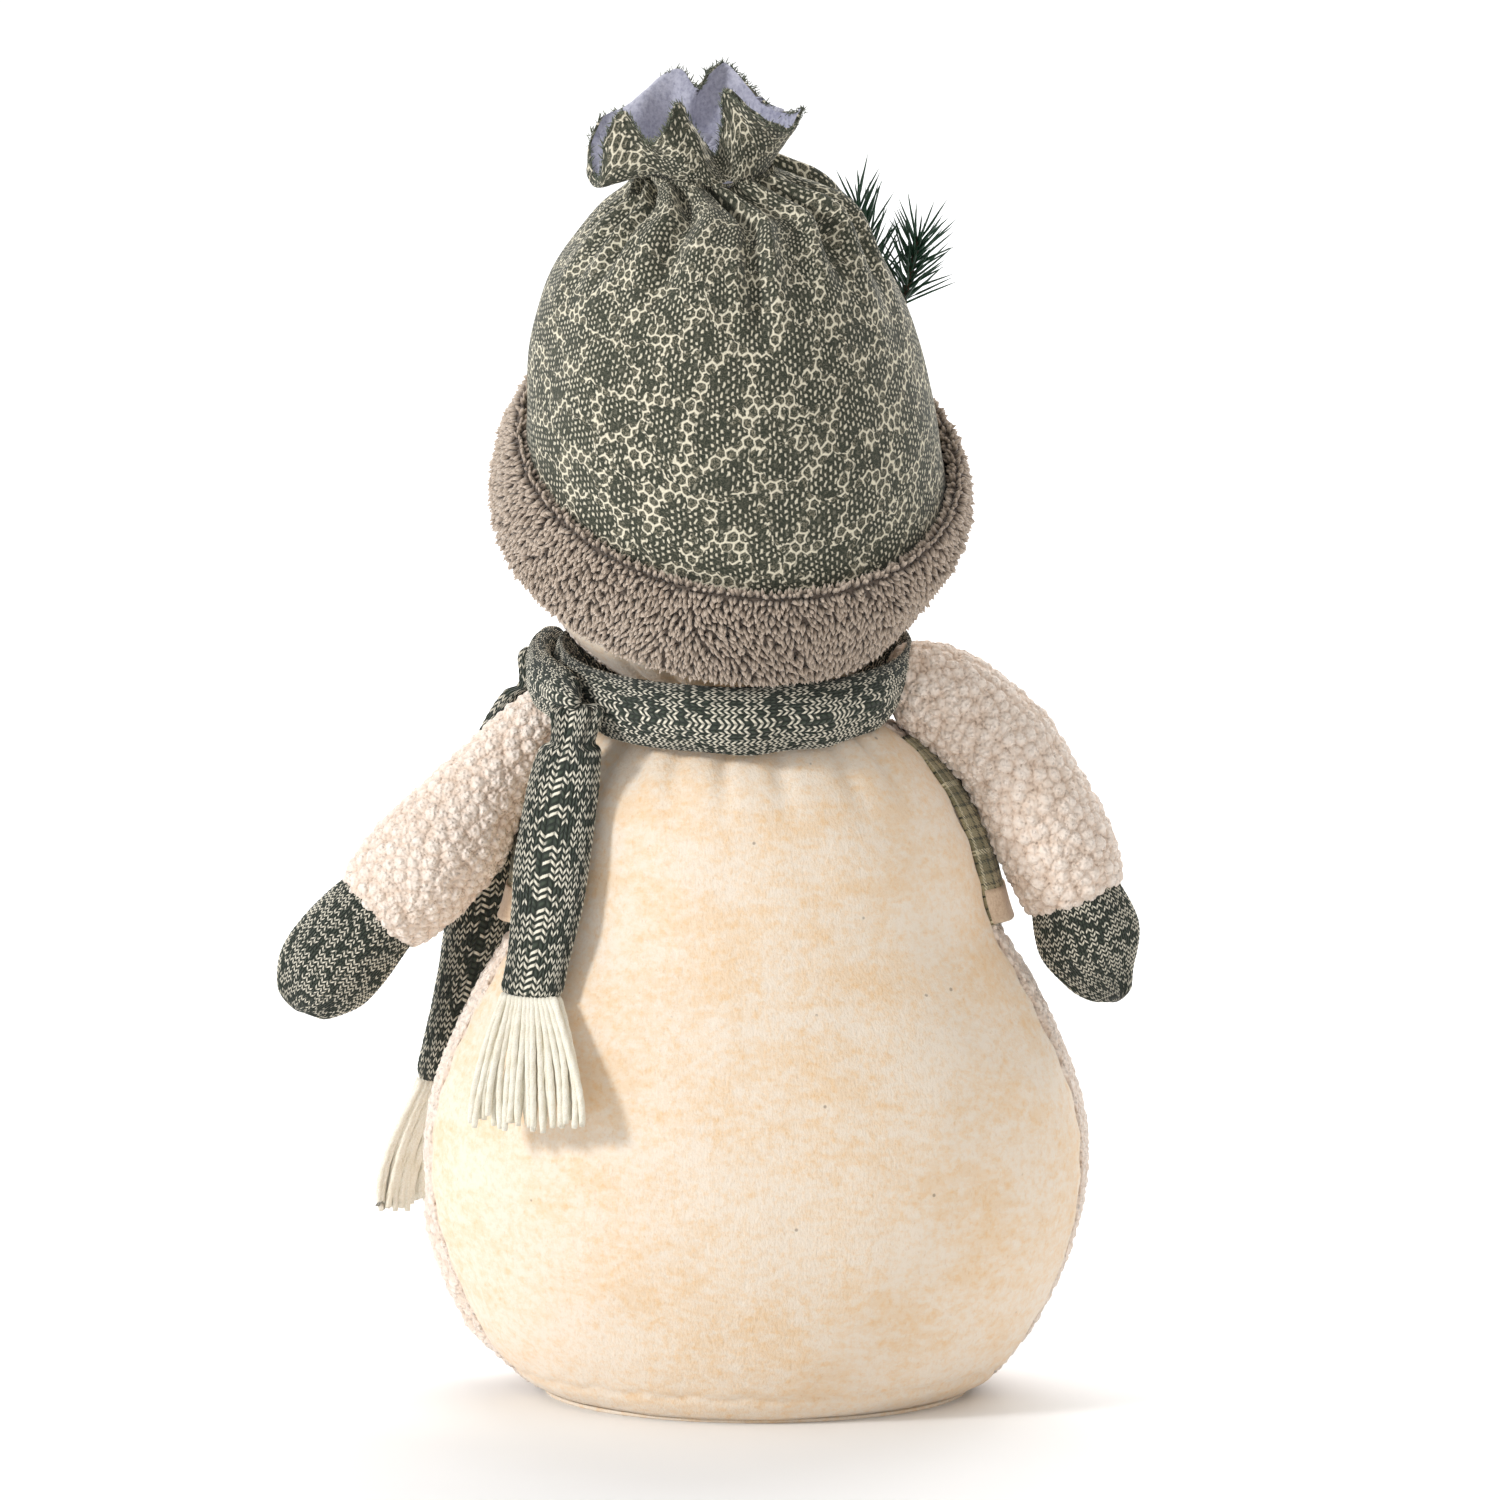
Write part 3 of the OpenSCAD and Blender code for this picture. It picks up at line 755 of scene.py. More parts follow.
@dataclass(frozen=True)
class Plain:
    """A plain stuff with a fine grain: yarn, backing, thread, wood, wire or wadding."""

    name: str
    base: Colour
    second: Colour
    grain: float = 800.0
    rough: float = 0.9
    depth: float = 0.0004
    stretch: tuple[float, float, float] = (1, 1, 1)
    sheen: float = 0.2

    def material(self) -> bpy.types.Material:
        """Builds the material."""
        p = Paint(self.name)
        at = p.coords(Coords.OBJECT, self.stretch)
        fine = p.noise(at, self.grain, 4, 0.65)
        cloud = p.noise(at, self.grain / 14, 2)
        share = fine.between(0.35, 0.7) * 0.7 + cloud.between(0.4, 0.7) * 0.3
        shade = p.mix(share, self.base, self.second)
        sockets = {"Base Color": shade, "Roughness": self.rough, "Sheen Weight": self.sheen}
        return p.finish(sockets, fine, self.depth)


@dataclass(frozen=True)
class Tweed:
    """Woven plaid; the cloth's own coordinates are in millimetres."""

    name: str = "plaid_tweed"
    olive: Colour = dye("7c775a")
    beige: Colour = dye("c4b691")
    line: Colour = dye("2f372c")
    pane: Colour = dye("eadfbd")
    repeat: float = 26.0

    def stripes(self, along: Value) -> tuple[Value, Value, Value]:
        """Wide bands, dark lines and pale lines across one direction."""
        place = (along / self.repeat).fract()
        band = (place - 0.5).abs().between(0.24, 0.2)
        dark = ((place * 6).fract() - 0.5).abs().between(0.17, 0.1)
        pale = (place - 0.06).abs().between(0.045, 0.03)
        return band, dark, pale

    def material(self) -> bpy.types.Material:
        """Builds the material."""
        p = Paint(self.name)
        u, v, _ = p.split(p.coords(Coords.CLOTH))
        threads = 2 * math.pi / 0.8
        warp, weft = (u * threads).sin(), (v * threads).sin()
        twill = ((u + v) * threads / 2).sin()
        over = twill.between(-0.2, 0.2)
        bands_u, dark_u, pale_u = self.stripes(u)
        bands_v, dark_v, pale_v = self.stripes(v)
        slub = p.noise(p.join(u * 0.5, v * 3.0), 1.0, 3)
        shade = p.mix((bands_u * 0.5 + bands_v * 0.5) * 0.75 + slub * 0.25, self.olive, self.beige)
        shade = p.mix((dark_u * over).most(dark_v * (1.0 - over)) * 0.85, shade, self.line)
        shade = p.mix((pale_u * over).most(pale_v * (1.0 - over)) * 0.9, shade, self.pane)
        shade = p.mix(p.noise(p.join(u, v), 1.6, 2).between(0.45, 0.7) * 0.2, shade, self.line)
        weave = warp * 0.25 + weft * 0.25 + twill * 0.25 + 0.5
        return p.finish({"Base Color": shade, "Roughness": 0.9, "Sheen Weight": 0.2}, weave, 0.0003)


@dataclass(frozen=True)
class Gloss:
    """A polished bead, with faint scuffs."""

    name: str = "black_bead"
    base: Colour = dye("0d0d0e")
    rough: float = 0.18

    def material(self) -> bpy.types.Material:
        """Builds the material."""
        p = Paint(self.name)
        scuff = p.noise(p.coords(Coords.OBJECT), 500, 4, 0.7)
        shade = p.mix(scuff.between(0.55, 0.8) * 0.3, self.base, dye("2a2a2c"))
        rough = scuff.between(0.4, 0.8) * 0.14 + self.rough
        return p.finish({"Base Color": shade, "Roughness": rough, "Coat Weight": 0.3}, scuff, 0.00003)


class Finish(Protocol):
    """A kind of cloth, yarn, wood or bead that a material can be made from."""

    @property
    def name(self) -> str:
        """Name of the material."""

    def material(self) -> bpy.types.Material:
        """Builds the material."""


@dataclass
class Wardrobe:
    """Every finish, made once."""

    made: dict[str, bpy.types.Material] = field(default_factory=dict)

    def stuff(self, finish: Finish) -> bpy.types.Material:
        """The material of a finish, made when it is first asked for."""
        if finish.name not in self.made:
            self.made[finish.name] = finish.material()
        return self.made[finish.name]

    def dress(self, obj: bpy.types.Object, *finishes: Finish) -> None:
        """Gives a new piece its finishes, in the order of its material slots."""
        for finish in finishes:
            obj.data.materials.append(self.stuff(finish))

    def dress_node(self, node: str, finish: Finish) -> None:
        """Gives a CAD node that stays its finish."""
        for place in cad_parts[node].material_slots:
            place.material = self.stuff(finish)


YARN = Plain("white_yarn", dye("fbf7ea"), dye("e9dfc6"), 1800, 0.88, 0.0004)
BACKING = Plain("lavender_backing", dye("b7b7c5"), dye("85869a"), 620, 0.93, 0.0006)
WADDING = Plain("wadding", dye("f4f1ea"), dye("e2ddd2"), 300, 0.95, 0.001)
BAG = Plain("bag_cloth", dye("c8b48f"), dye("a78f68"), 600, 0.9, 0.0003)
THREAD = Plain("dark_thread", dye("3c4038"), dye("24271f"), 1500, 0.8, 0.0003)
WOOD = Plain("button_wood", dye("a8794a"), dye("6f4a28"), 500, 0.5, 0.0002, (1, 1, 9), 0.0)
CARROT = Plain("carrot_felt", dye("dd7a33"), dye("b95a20"), 700, 0.92, 0.0006)
WIRE = Plain("wire_stem", dye("4b3a27"), dye("2c2218"), 900, 0.7, 0.0003, (1, 1, 0.3), 0.0)
NEEDLE = Plain("pine_needle", dye("1f4a33"), dye("12301f"), 900, 0.45, 0.0001, (1, 1, 0.3), 0.0)
HEM = Plain("hem_cotton", dye("e3cdb4"), dye("c9ab8c"), 900, 0.9, 0.0003)


# --------------------------------------------------------------- the bodies


def declare(
    obj: bpy.types.Object, body: str, nodes: Iterable[str] = ()
) -> None:
    """Hangs a finished piece on its body.

    Args:
        obj: the piece.
        body: the CAD body that it moves with.
        nodes: the CAD nodes that it stands for.
    """
    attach(obj, body)
    if nodes:
        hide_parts(*nodes)
    log.info("%s: %d faces on %s", obj.name, len(obj.data.polygons), body)


def declare_bent(
    obj: bpy.types.Object, body: str, node: str
) -> None:
    """Bakes a stuffed piece's place into its mesh and hides the CAD node that it stands for; it is not hung
    on any body.

    Args:
        obj: the piece.
        body: the CAD body that its free end goes with; it is only named in the log.
        node: the CAD node that it stands for.
    """
    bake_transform(obj)
    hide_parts(node)
    log.info("%s: %d faces bending to %s", obj.name, len(obj.data.polygons), body)


# ----------------------------------------------------------------- the body


@dataclass
class Body:
    """The stuffed body: felt back, fleece front and base.

    Args:
        wardrobe: the finishes.
        profile: height, half width, half depth and shift to the left of each level.
        seam: angle of the side seams behind the widest line, in degrees.
        base_seam: height of the seam to the base.
        pleats: angles of the pleats under the scarf, in degrees.
        seam_gap: how far the front panel stops short of the seam, in degrees.
        curl: size of the pile's curls.
        sag: how far the front panel bulges low on the left.
    """

    wardrobe: Wardrobe
    profile: Rows = (
        (2, 82, 64, 0), (10, 93, 71, 0), (30, 108, 81, 0), (63, 122, 90, 0), (94, 126, 92, 0),
        (125, 120, 88.5, 0), (156, 106, 80, 0), (183, 91, 71, 0), (215, 83.5, 65, 1),
        (240, 73, 58, 3), (256, 59, 47, 4.5), (266, 42, 39, 5.5), (277, 38, 36, 6),
    )
    seam: float = 10.0
    base_seam: float = 11.0
    pleats: Sequence[float] = (38, 52, 66, 83, 101, 124, 141)
    seam_gap: float = 0.3
    curl: float = 4.0
    sag: float = 3.6

    def place(self, start: float, end: float) -> Place:
        """Wraps cloth round the body between two angles in degrees."""

        def put(u: np.ndarray, v: np.ndarray) -> np.ndarray:
            """Points of the body's surface."""
            row = evenly(self.profile, 1, 0, v)
            t = np.radians(start + (end - start) * u)
            x = row[:, 3] + row[:, 1] * np.cos(t)
            return np.stack([x, row[:, 2] * np.sin(t), row[:, 0]], axis=1)

        return put

    def felt_relief(self, u: np.ndarray, v: np.ndarray, p: np.ndarray) -> tuple[np.ndarray, np.ndarray]:
        """Pleats at the neck, the base seam, puckers at the side seams and soft dents."""
        angle = self.seam + (180 - 2 * self.seam) * u
        near_neck = step(p[:, 2], 222, 262)
        height = 0.8 * ripple(p, 46) + 0.35 * ripple(p, 17, 3.0)
        for k, pleat in enumerate(self.pleats):
            apart = (angle - pleat) / (3.2 + 0.5 * (k % 3))
            height -= 2.4 * near_neck * np.exp(-apart**2)
        seam_line = self.base_seam + 0.8 * np.cos(angle * 0.5)
        height -= 1.1 * np.exp(-(((p[:, 2] - seam_line) / 1.1) ** 2))
        edge = np.minimum(angle - self.seam, 180 - self.seam - angle)
        pucker = np.sin(p[:, 2] / 2.6 + 2.0 * ripple(p, 30, 5.0))
        height += 0.45 * pucker * np.exp(-((edge / 2.2) ** 2)) - 0.9 * np.exp(-((edge / 0.9) ** 2))
        height += 0.7 * np.exp(-(((edge - 4.5) / 1.4) ** 2)) * step(ripple(p, 24, 8.0), -0.1, 0.4)
        return height, np.ones(len(u))

    def fleece_relief(self, u: np.ndarray, v: np.ndarray, p: np.ndarray) -> tuple[np.ndarray, np.ndarray]:
        """Curls of pile, lower at the seams and under the vest, over a bulge low on the left."""
        lift = nubs(p, self.curl)
        edge = np.minimum(u, 1 - u) * 200
        depth = 2.5 * (0.55 + 0.45 * step(edge, 0, 2)) * (1 - 0.35 * step(p[:, 2], 186, 200))
        low_down = step(p[:, 2], 6, 30) * (1 - step(p[:, 2], 62, 84))
        bulge = self.sag * step(p[:, 0], 60, 95) * low_down * step(edge, 0, 7)
        return depth * (lift - 0.35) + 0.7 * ripple(p, 40, 2.0) + bulge, lift

    def build(self) -> None:
        """Makes the panels."""
        place = self.place(self.seam, 180 - self.seam)
        back = Cloth("back_panel", 170, 150, place, self.felt_relief, hem=3, closed=False).build()
        self.wardrobe.dress(back, Felt())
        declare(back, "torso", ["body_back_panel"])
        place = self.place(180 - self.seam + self.seam_gap, 360 + self.seam - self.seam_gap)
        front = Cloth("front_panel", 350, 250, place, self.fleece_relief, hem=3, closed=False).build()
        self.wardrobe.dress(front, Fleece())
        declare(front, "torso", ["body_front_panel"])
        self.base()
        for node, finish in (("body_stuffing", WADDING), ("weight_bag", BAG), ("neck_tie", YARN)):
            self.wardrobe.dress_node(node, finish)

    def base(self) -> None:
        """The flat felt base, with a rounded edge."""
        bm = bmesh.new()
        low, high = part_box("base_panel")
        bmesh.ops.create_circle(bm, cap_ends=True, segments=96, radius=1)
        made = bmesh.ops.extrude_face_region(bm, geom=bm.faces[:])["geom"]
        top = [g for g in made if isinstance(g, bmesh.types.BMVert)]
        bmesh.ops.translate(bm, vec=(0, 0, high.z - low.z), verts=top)
        bmesh.ops.scale(bm, vec=(high.x, high.y, 1), verts=bm.verts[:])
        rim = [e for e in bm.edges if len(e.link_faces) == 2 and abs(e.calc_face_angle(0)) > 1]
        bmesh.ops.bevel(bm, geom=rim, offset=0.0006, segments=2, profile=0.5, affect="EDGES", material=-1)
        bmesh.ops.recalc_face_normals(bm, faces=bm.faces[:])
        base = from_bmesh("base_felt", bm)
        self.wardrobe.dress(base, Felt())
        declare(base, "torso", ["base_panel"])


@dataclass
class Vest:
    """The plaid vest: two front panels with a plain hem, and buttons.

    Args:
        wardrobe: the finishes.
        body: the body that it lies on.
        hem_z: height of its hem.
        top_z: height of its top, under the scarf.
        hem_h: height of the plain strip along the hem.
        stand: how far it stands off the body's outline.
        flare: how much more it stands off at the hem.
        cloth_t: thickness of its cloth.
        hem_t: thickness of the hem strip.
    """

    wardrobe: Wardrobe
    body: Body
    hem_z: float = 183.0
    top_z: float = 255.0
    hem_h: float = 13.0
    stand: float = 3.6
    flare: float = 4.2
    cloth_t: float = 1.6
    hem_t: float = 0.6

    def place(self, side: float, low: float, high: float, out: float, z0: float, z1: float) -> Place:
        """Wraps a panel from the side seam to a slanted front edge."""
        rows = evenly(self.body.profile, 1, 0, np.linspace(0, 1, 400))

        def put(u: np.ndarray, v: np.ndarray) -> np.ndarray:
            """Points of the vest's outer face."""
            z = z0 + (z1 - z0) * v
            f = (z - self.hem_z) / (self.top_z - self.hem_z)
            front = low + (high - low) * f
            first, last = (side, front) if side < low else (front, side)
            t = np.radians(first + (last - first) * u)
            away = np.clip(np.abs(np.degrees(t) - side) / 22, 0, 1)
            drop = (self.top_z - z) / (self.top_z - self.hem_z)
            flare = self.flare * np.sin(np.pi / 2 * away) * np.clip(2 * drop, 0, 1)
            grow = 1.2 + (out - 1.2) * step(away, 0, 0.35) + flare
            width = np.interp(z, rows[:, 0], rows[:, 1]) + grow
            depth = np.interp(z, rows[:, 0], rows[:, 2]) + grow
            lean = np.interp(z, rows[:, 0], rows[:, 3])
            return np.stack([lean + width * np.cos(t), depth * np.sin(t), z], axis=1)

        return put

    def panel(self, name: str, node: str, side: float, low: float, high: float) -> None:
        """One front panel and its hem strip."""

        def drape(u: np.ndarray, v: np.ndarray, p: np.ndarray) -> tuple[np.ndarray, np.ndarray]:
            """Soft folds, standing clear of the curls."""
            return 0.5 * ripple(p, 22, 4.0) - 0.2, np.ones(len(u))

        upper = self.place(side, low, high, self.stand, self.hem_z, self.top_z)
        cloth = Cloth(name, 60, 44, upper, drape, (115, 72), closed=False).build()
        thicken(cloth, self.cloth_t)
        self.wardrobe.dress(cloth, Tweed())
        hem_top = self.hem_z + self.hem_h
        lower = self.place(side, low, high, self.stand + 0.7, self.hem_z + 0.2, hem_top)
        strip = Cloth(f"{name}_hem", 60, 8, lower, drape, (115, 13), closed=False).build()
        thicken(strip, self.hem_t)
        self.wardrobe.dress(strip, HEM)
        declare(cloth, "torso", [node])
        declare(strip, "torso")

    def build(self) -> None:
        """Makes the panels and finishes the buttons."""
        seam = self.body.seam
        self.panel("vest_left", "vest_left_panel", 360 + seam + 1, 272, 322)
        self.panel("vest_right", "vest_right_panel", 180 - seam - 1, 268, 218)
        self.wardrobe.dress_node("vest_buttons", WOOD)


# ----------------------------------------------------------------- the head


@dataclass
class Head:
    """The stuffed head: felt back, fleece front and face.

    Args:
        wardrobe: the finishes.
        centre: middle of the head.
        radii: half its width, depth and height.
        neck_z: height at which the scarf hides it.
        seam: angle of the side seams behind the widest line, in degrees.
        pleats: angles of the gathers over the scarf, in degrees.
        seam_gap: how far the front panel stops short of the seam, in degrees.
        curl: size of the pile's curls.
    """

    wardrobe: Wardrobe
    centre: tuple[float, float, float] = (8.0, 0.0, 336.0)
    radii: tuple[float, float, float] = (78.0, 72.0, 70.0)
    neck_z: float = 278.0
    seam: float = 10.0
    pleats: Sequence[float] = (36, 58, 81, 103, 127, 150)
    seam_gap: float = 0.4
    curl: float = 3.9

    def place(self, start: float, end: float) -> Place:
        """Wraps cloth round the head between two angles in degrees."""
        low = -math.asin((self.centre[2] - self.neck_z) / self.radii[2])

        def put(u: np.ndarray, v: np.ndarray) -> np.ndarray:
            """Points of the head's surface."""
            t = np.radians(start + (end - start) * u)
            lat = low + (math.radians(86) - low) * v
            x = self.centre[0] + self.radii[0] * np.cos(lat) * np.cos(t)
            y = self.radii[1] * np.cos(lat) * np.sin(t)
            return np.stack([x, y, self.centre[2] + self.radii[2] * np.sin(lat)], axis=1)

        return put

    def back_relief(self, u: np.ndarray, v: np.ndarray, p: np.ndarray) -> tuple[np.ndarray, np.ndarray]:
        """Gathers over the scarf, and the crease where the neck is drawn in."""
        angle = 180 * u
        low = step(p[:, 2], 306, 284)
        height = 0.5 * ripple(p, 20, 6.0)
        for k, pleat in enumerate(self.pleats):
            height -= 1.6 * low * np.exp(-(((angle - pleat) / (3 + k % 2)) ** 2))
        return height, np.ones(len(u))

    def front_relief(self, u: np.ndarray, v: np.ndarray, p: np.ndarray) -> tuple[np.ndarray, np.ndarray]:
        """Curls of pile, combed low round the face."""
        lift = nubs(p, self.curl)
        return 2.0 * (lift - 0.4), lift

    def build(self) -> None:
        """Makes the head and its face."""
        place = self.place(self.seam, 180 - self.seam)
        back = Cloth("head_back", 110, 80, place, self.back_relief, hem=2.5, closed=False).build()
        self.wardrobe.dress(back, Felt())
        declare(back, "head", ["head_back_panel"])
        place = self.place(180 - self.seam + self.seam_gap, 360 + self.seam - self.seam_gap)
        front = Cloth("head_front", 220, 130, place, self.front_relief, hem=2.5, closed=False).build()
        self.wardrobe.dress(front, Fleece())
        declare(front, "head", ["head_front_panel"])
        self.nose()
        self.wardrobe.dress_node("head_stuffing", WADDING)
        for node in ("left_eye", "right_eye", "mouth_beads"):
            self.wardrobe.dress_node(node, Gloss())

    def nose(self) -> None:
        """A carrot of felt with ringed creases."""
        low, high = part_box("nose")
        middle = (low + high) / 2
        radius, length = (high.x - low.x) / 2, high.y - low.y
        bm = bmesh.new()
        bmesh.ops.create_circle(bm, cap_ends=True, segments=32, radius=radius * 0.72)
        edges = [e for e in bm.edges]
        steps = 46
        for k in range(1, steps + 1):
            ring, edges = next_ring(bm, edges)
            f = k / steps
            body = (1.0 - 0.83 * f) * min(1.0, 0.72 + 5 * f) * math.sqrt(max(1 - f**14, 0.02))
            groove = 0.055 * max(0.0, math.sin(f * 31 + 1.3 * math.sin(f * 9))) ** 4
            want = radius * body * (1 - groove)
            size = ring[0].co.xy.length
            bmesh.ops.scale(bm, vec=(want / size, want / size, 1), verts=ring)
            bmesh.ops.translate(bm, vec=(0, 0, length / steps), verts=ring)
        bmesh.ops.edgeloop_fill(bm, edges=edges)
        forward = Matrix.Rotation(math.pi / 2, 3, "X")
        bmesh.ops.rotate(bm, cent=(0, 0, 0), matrix=forward, verts=bm.verts[:])
        for vert in bm.verts:
            share = -vert.co.y / length
            vert.co.z -= 0.0035 * share**2
            vert.co.x += 0.0012 * math.sin(share * 3)
        bmesh.ops.translate(bm, vec=(middle.x, high.y, middle.z), verts=bm.verts[:])
        bmesh.ops.recalc_face_normals(bm, faces=bm.faces[:])
        nose = from_bmesh("carrot_nose", bm)
        self.wardrobe.dress(nose, CARROT)
        declare(nose, "head", ["nose"])


# ------------------------------------------------------------------ the hat


@dataclass
class Hat:
    """The gathered hat: crown, frill, cord and fur cuff.

    Args:
        wardrobe: the finishes.
        yaw: turn of the hat on the head, in degrees.
        crown: place of each ring's middle (three values), its radius and its tilt.
        cuff_at: middle of the cuff.
        cuff_tilt: how far the cuff leans down at the back, in degrees.
        cuff_r: inner radius of the cuff.
        cuff_t: thickness of its backing.
        cuff_h: height of the cuff.
        folds: folds round the crown.
        creases: angle, width, start and depth of each deep crease in the crown.
        petals: angle, pull out, pull up and rim point (three values) of each station of the frill.
        floor_share: share of the frill's cloth that closes the neck as pleats.
        frill_t: thickness of the frill.
        threads: number of loose threads along the frill's edge.
        pile_rows: rows of locks on the cuff.
        pile_pitch: distance from one lock to the next in a row.
        pile_span: where the pile starts and ends along the cuff's section.
        lock_wide: least and greatest width of a lock.
        lock_long: least and greatest length of a lock.
        lip_share: length of the locks under the cuff's lower edge, as a share of the rest.
    """

    wardrobe: Wardrobe
    yaw: float = 15.0
    crown: Rows = (
        (7.5, 4, 352, 82.3, 32), (8, 11.5, 366, 80, 32), (9.5, 13, 388, 77.5, 27),
        (10.5, 13, 408, 73, 20),
        (10.5, 12.5, 426, 67.5, 14), (10.5, 12, 442, 59, 8), (9.5, 11, 455, 51, 5),
        (8, 11, 463, 43, 6), (11, 10, 468, 37.5, 10), (15, 10, 471, 31, 13),
        (19.5, 10, 473.5, 26.5, 15), (20.5, 10, 476, 25.5, 15),
    )
    cuff_at: tuple[float, float, float] = (9, 2, 348)
    cuff_tilt: float = 32.0
    cuff_r: float = 83.4
    cuff_t: float = 7.4
    cuff_h: float = 42.0
    folds: int = 17
    creases: Rows = (
        (84, 4.0, 0.52, 6.6), (124, 5.5, 0.6, 6.4), (50, 6, 0.55, 6.2), (24, 4, 0.55, 4.5),
        (152, 5, 0.55, 4.8), (190, 4, 0.55, 4.0), (228, 5, 0.5, 4.4), (268, 4, 0.55, 4.2),
        (305, 5, 0.5, 4.2), (345, 4, 0.6, 4.0),
    )
    petals: Rows = (
        (-18, 18, 2, 60, 0, 489), (2, 24, -9, 62.5, 12, 476), (18, 22, -9, 59, 26, 470),
        (30, 16, -2, 57, 36, 486), (42, 10, 6, 50, 39, 498), (54, 6, 8, 40, 38, 486),
        (68, 5, 10, 34, 42, 492), (78, 4, 14, 29, 38, 501), (90, 0, 4, 21, 30, 487),
        (100, -2, 2, 15, 28, 480), (108, 0, 6, 13, 34, 492), (116, 5, 14, 12, 40, 506),
        (130, 6, 14, 4, 42, 500), (146, 6, 12, -7, 36, 492), (160, 8, 12, -13, 30, 490),
        (178, 12, 14, -18, 20, 496), (196, 10, 16, -14, 6, 493), (212, 6, 20, -8, -4, 492),
        (232, 4, 20, 4, -14, 502), (250, 2, 18, 12, -22, 508), (262, -4, 14, 18, -14, 506),
        (272, -4, 12, 22, -10, 500), (284, 2, 18, 28, -16, 506), (300, 4, 20, 36, -16, 503),
        (320, 6, 16, 46, -12, 494),
    )
    floor_share: float = 0.2
    frill_t: float = 1.1
    threads: int = 900
    pile_rows: int = 30
    pile_pitch: float = 2.0
    pile_span: tuple[float, float] = (-0.045, 0.66)
    lock_wide: tuple[float, float] = (0.7, 1.0)
    lock_long: tuple[float, float] = (3.4, 5.0)
    lip_share: float = 0.34

    def hat_point(
        self, x: np.ndarray, y: np.ndarray, z: np.ndarray, at: np.ndarray, tilt: np.ndarray
    ) -> np.ndarray:
        """Points of the tilted and turned hat from its own across, back and up."""
        lean, turn = np.radians(tilt), math.radians(self.yaw)
        back = y * np.cos(lean) + z * np.sin(lean)
        up = z * np.cos(lean) - y * np.sin(lean)
        across = x * math.cos(turn) - back * math.sin(turn)
        along = x * math.sin(turn) + back * math.cos(turn)
        return np.stack([at[:, 0] + across, at[:, 1] + along, at[:, 2] + up], axis=1)

    def crown_place(self, u: np.ndarray, v: np.ndarray) -> np.ndarray:
        """Points of the crown's cloth."""
        row = evenly(self.crown, 3, 2, v)
        t = 2 * np.pi * u
        return self.hat_point(row[:, 3] * np.cos(t), row[:, 3] * np.sin(t), 0 * t, row, row[:, 4])

    def crown_relief(self, u: np.ndarray, v: np.ndarray, p: np.ndarray) -> tuple[np.ndarray, np.ndarray]:
        """Folds that deepen towards the gather, and soft slumps lower down."""
        t = 2 * np.pi * u
        bend = 0.35 * np.sin(2 * t + 0.6) + 0.22 * np.sin(5 * t)
        gathered = step(v, 0.42, 0.86)
        fold = np.sin(self.folds * t + 3.2 * bend)
        coarse = np.sin(7 * t + 5.0 * bend + 1.0)
        height = gathered * (1.3 * fold + 1.7 * coarse) - 1.4 * gathered * (1 - step(v, 0.9, 1.0))
        height += 1.8 * ripple(p, 30, 1.0) * step(v, 0.05, 0.25)
        for at, width, low, deep in self.creases:
            bent_at = at + 16 * (v - 0.8) * np.sin(np.radians(3 * at))
            apart = (np.mod(np.degrees(t) - bent_at + 180, 360) - 180) / width
            height -= deep * np.exp(-(apart**2)) * step(v, low, low + 0.18) * (1 - step(v, 0.93, 1.0))
            height += 0.5 * deep * np.exp(-((abs(apart) - 1.8) ** 2)) * step(v, low, low + 0.25)
        return np.maximum(height - 0.4, -6.5), 0.5 + 0.5 * fold

    def wadding_place(self, u: np.ndarray, v: np.ndarray) -> np.ndarray:
        """Points of the rounded filling under the crown's folds."""
        row = evenly(self.crown, 3, 2, 0.46 + 0.26 * v)
        t = 2 * np.pi * u
        r = (row[:, 3] - 11) * np.sqrt(np.clip(1 - np.abs(2 * v - 1) ** 6, 0, 1))
        return self.hat_point(r * np.cos(t), r * np.sin(t), 0 * t, row, row[:, 4])

    def wadding_relief(self, u: np.ndarray, v: np.ndarray, p: np.ndarray) -> tuple[np.ndarray, np.ndarray]:
        """Soft lumps."""
        return 0.8 * ripple(p, 20, 1.0), v

    def station(self, u: np.ndarray) -> tuple[np.ndarray, np.ndarray]:
        """Angles and smooth values of the frill's stations at places round its rim."""
        table = np.asarray(self.petals, float)
        count = len(table)
        k = np.floor(u * count).astype(int)
        f = (u * count - k)[:, None]
        before, at, after, last = (table[(k + j) % count] for j in (-1, 0, 1, 2))
        own = 2 * at + (after - before) * f + (2 * before - 5 * at + 4 * after - last) * f**2
        own = (own + (3 * at - before - 3 * after + last) * f**3) / 2
        turns = np.append(table[:, 0], table[0, 0] + 360)
        return np.radians(np.interp(u * count, np.arange(count + 1), turns)), own

    def frill_place(self, u: np.ndarray, v: np.ndarray) -> np.ndarray:
        """Points of the ruffled end: pleats from its middle to the gather, then leaning petals."""
        t, own = self.station(u)
        x, y, z, radius, lean = self.crown[-1]
        top = np.tile(np.array([x, y, z - 0.8]), (len(u), 1))
        inward = np.clip(v / self.floor_share, 0, 1)
        pleat = 0.7 * np.sin(26 * t) * np.sin(np.pi * inward)
        r = radius * inward
        rise = 2.4 * (1 - inward) + pleat
        neck = self.hat_point(r * np.cos(t), r * np.sin(t), rise, top, np.full(len(u), lean))
        petal = np.clip((v - self.floor_share) / (1 - self.floor_share), 0, 1)[:, None]
        pull = neck + np.stack([np.cos(t) * own[:, 1], np.sin(t) * own[:, 1], own[:, 2]], axis=1)
        return (1 - petal) ** 2 * neck + 2 * petal * (1 - petal) * pull + petal**2 * own[:, 3:6]

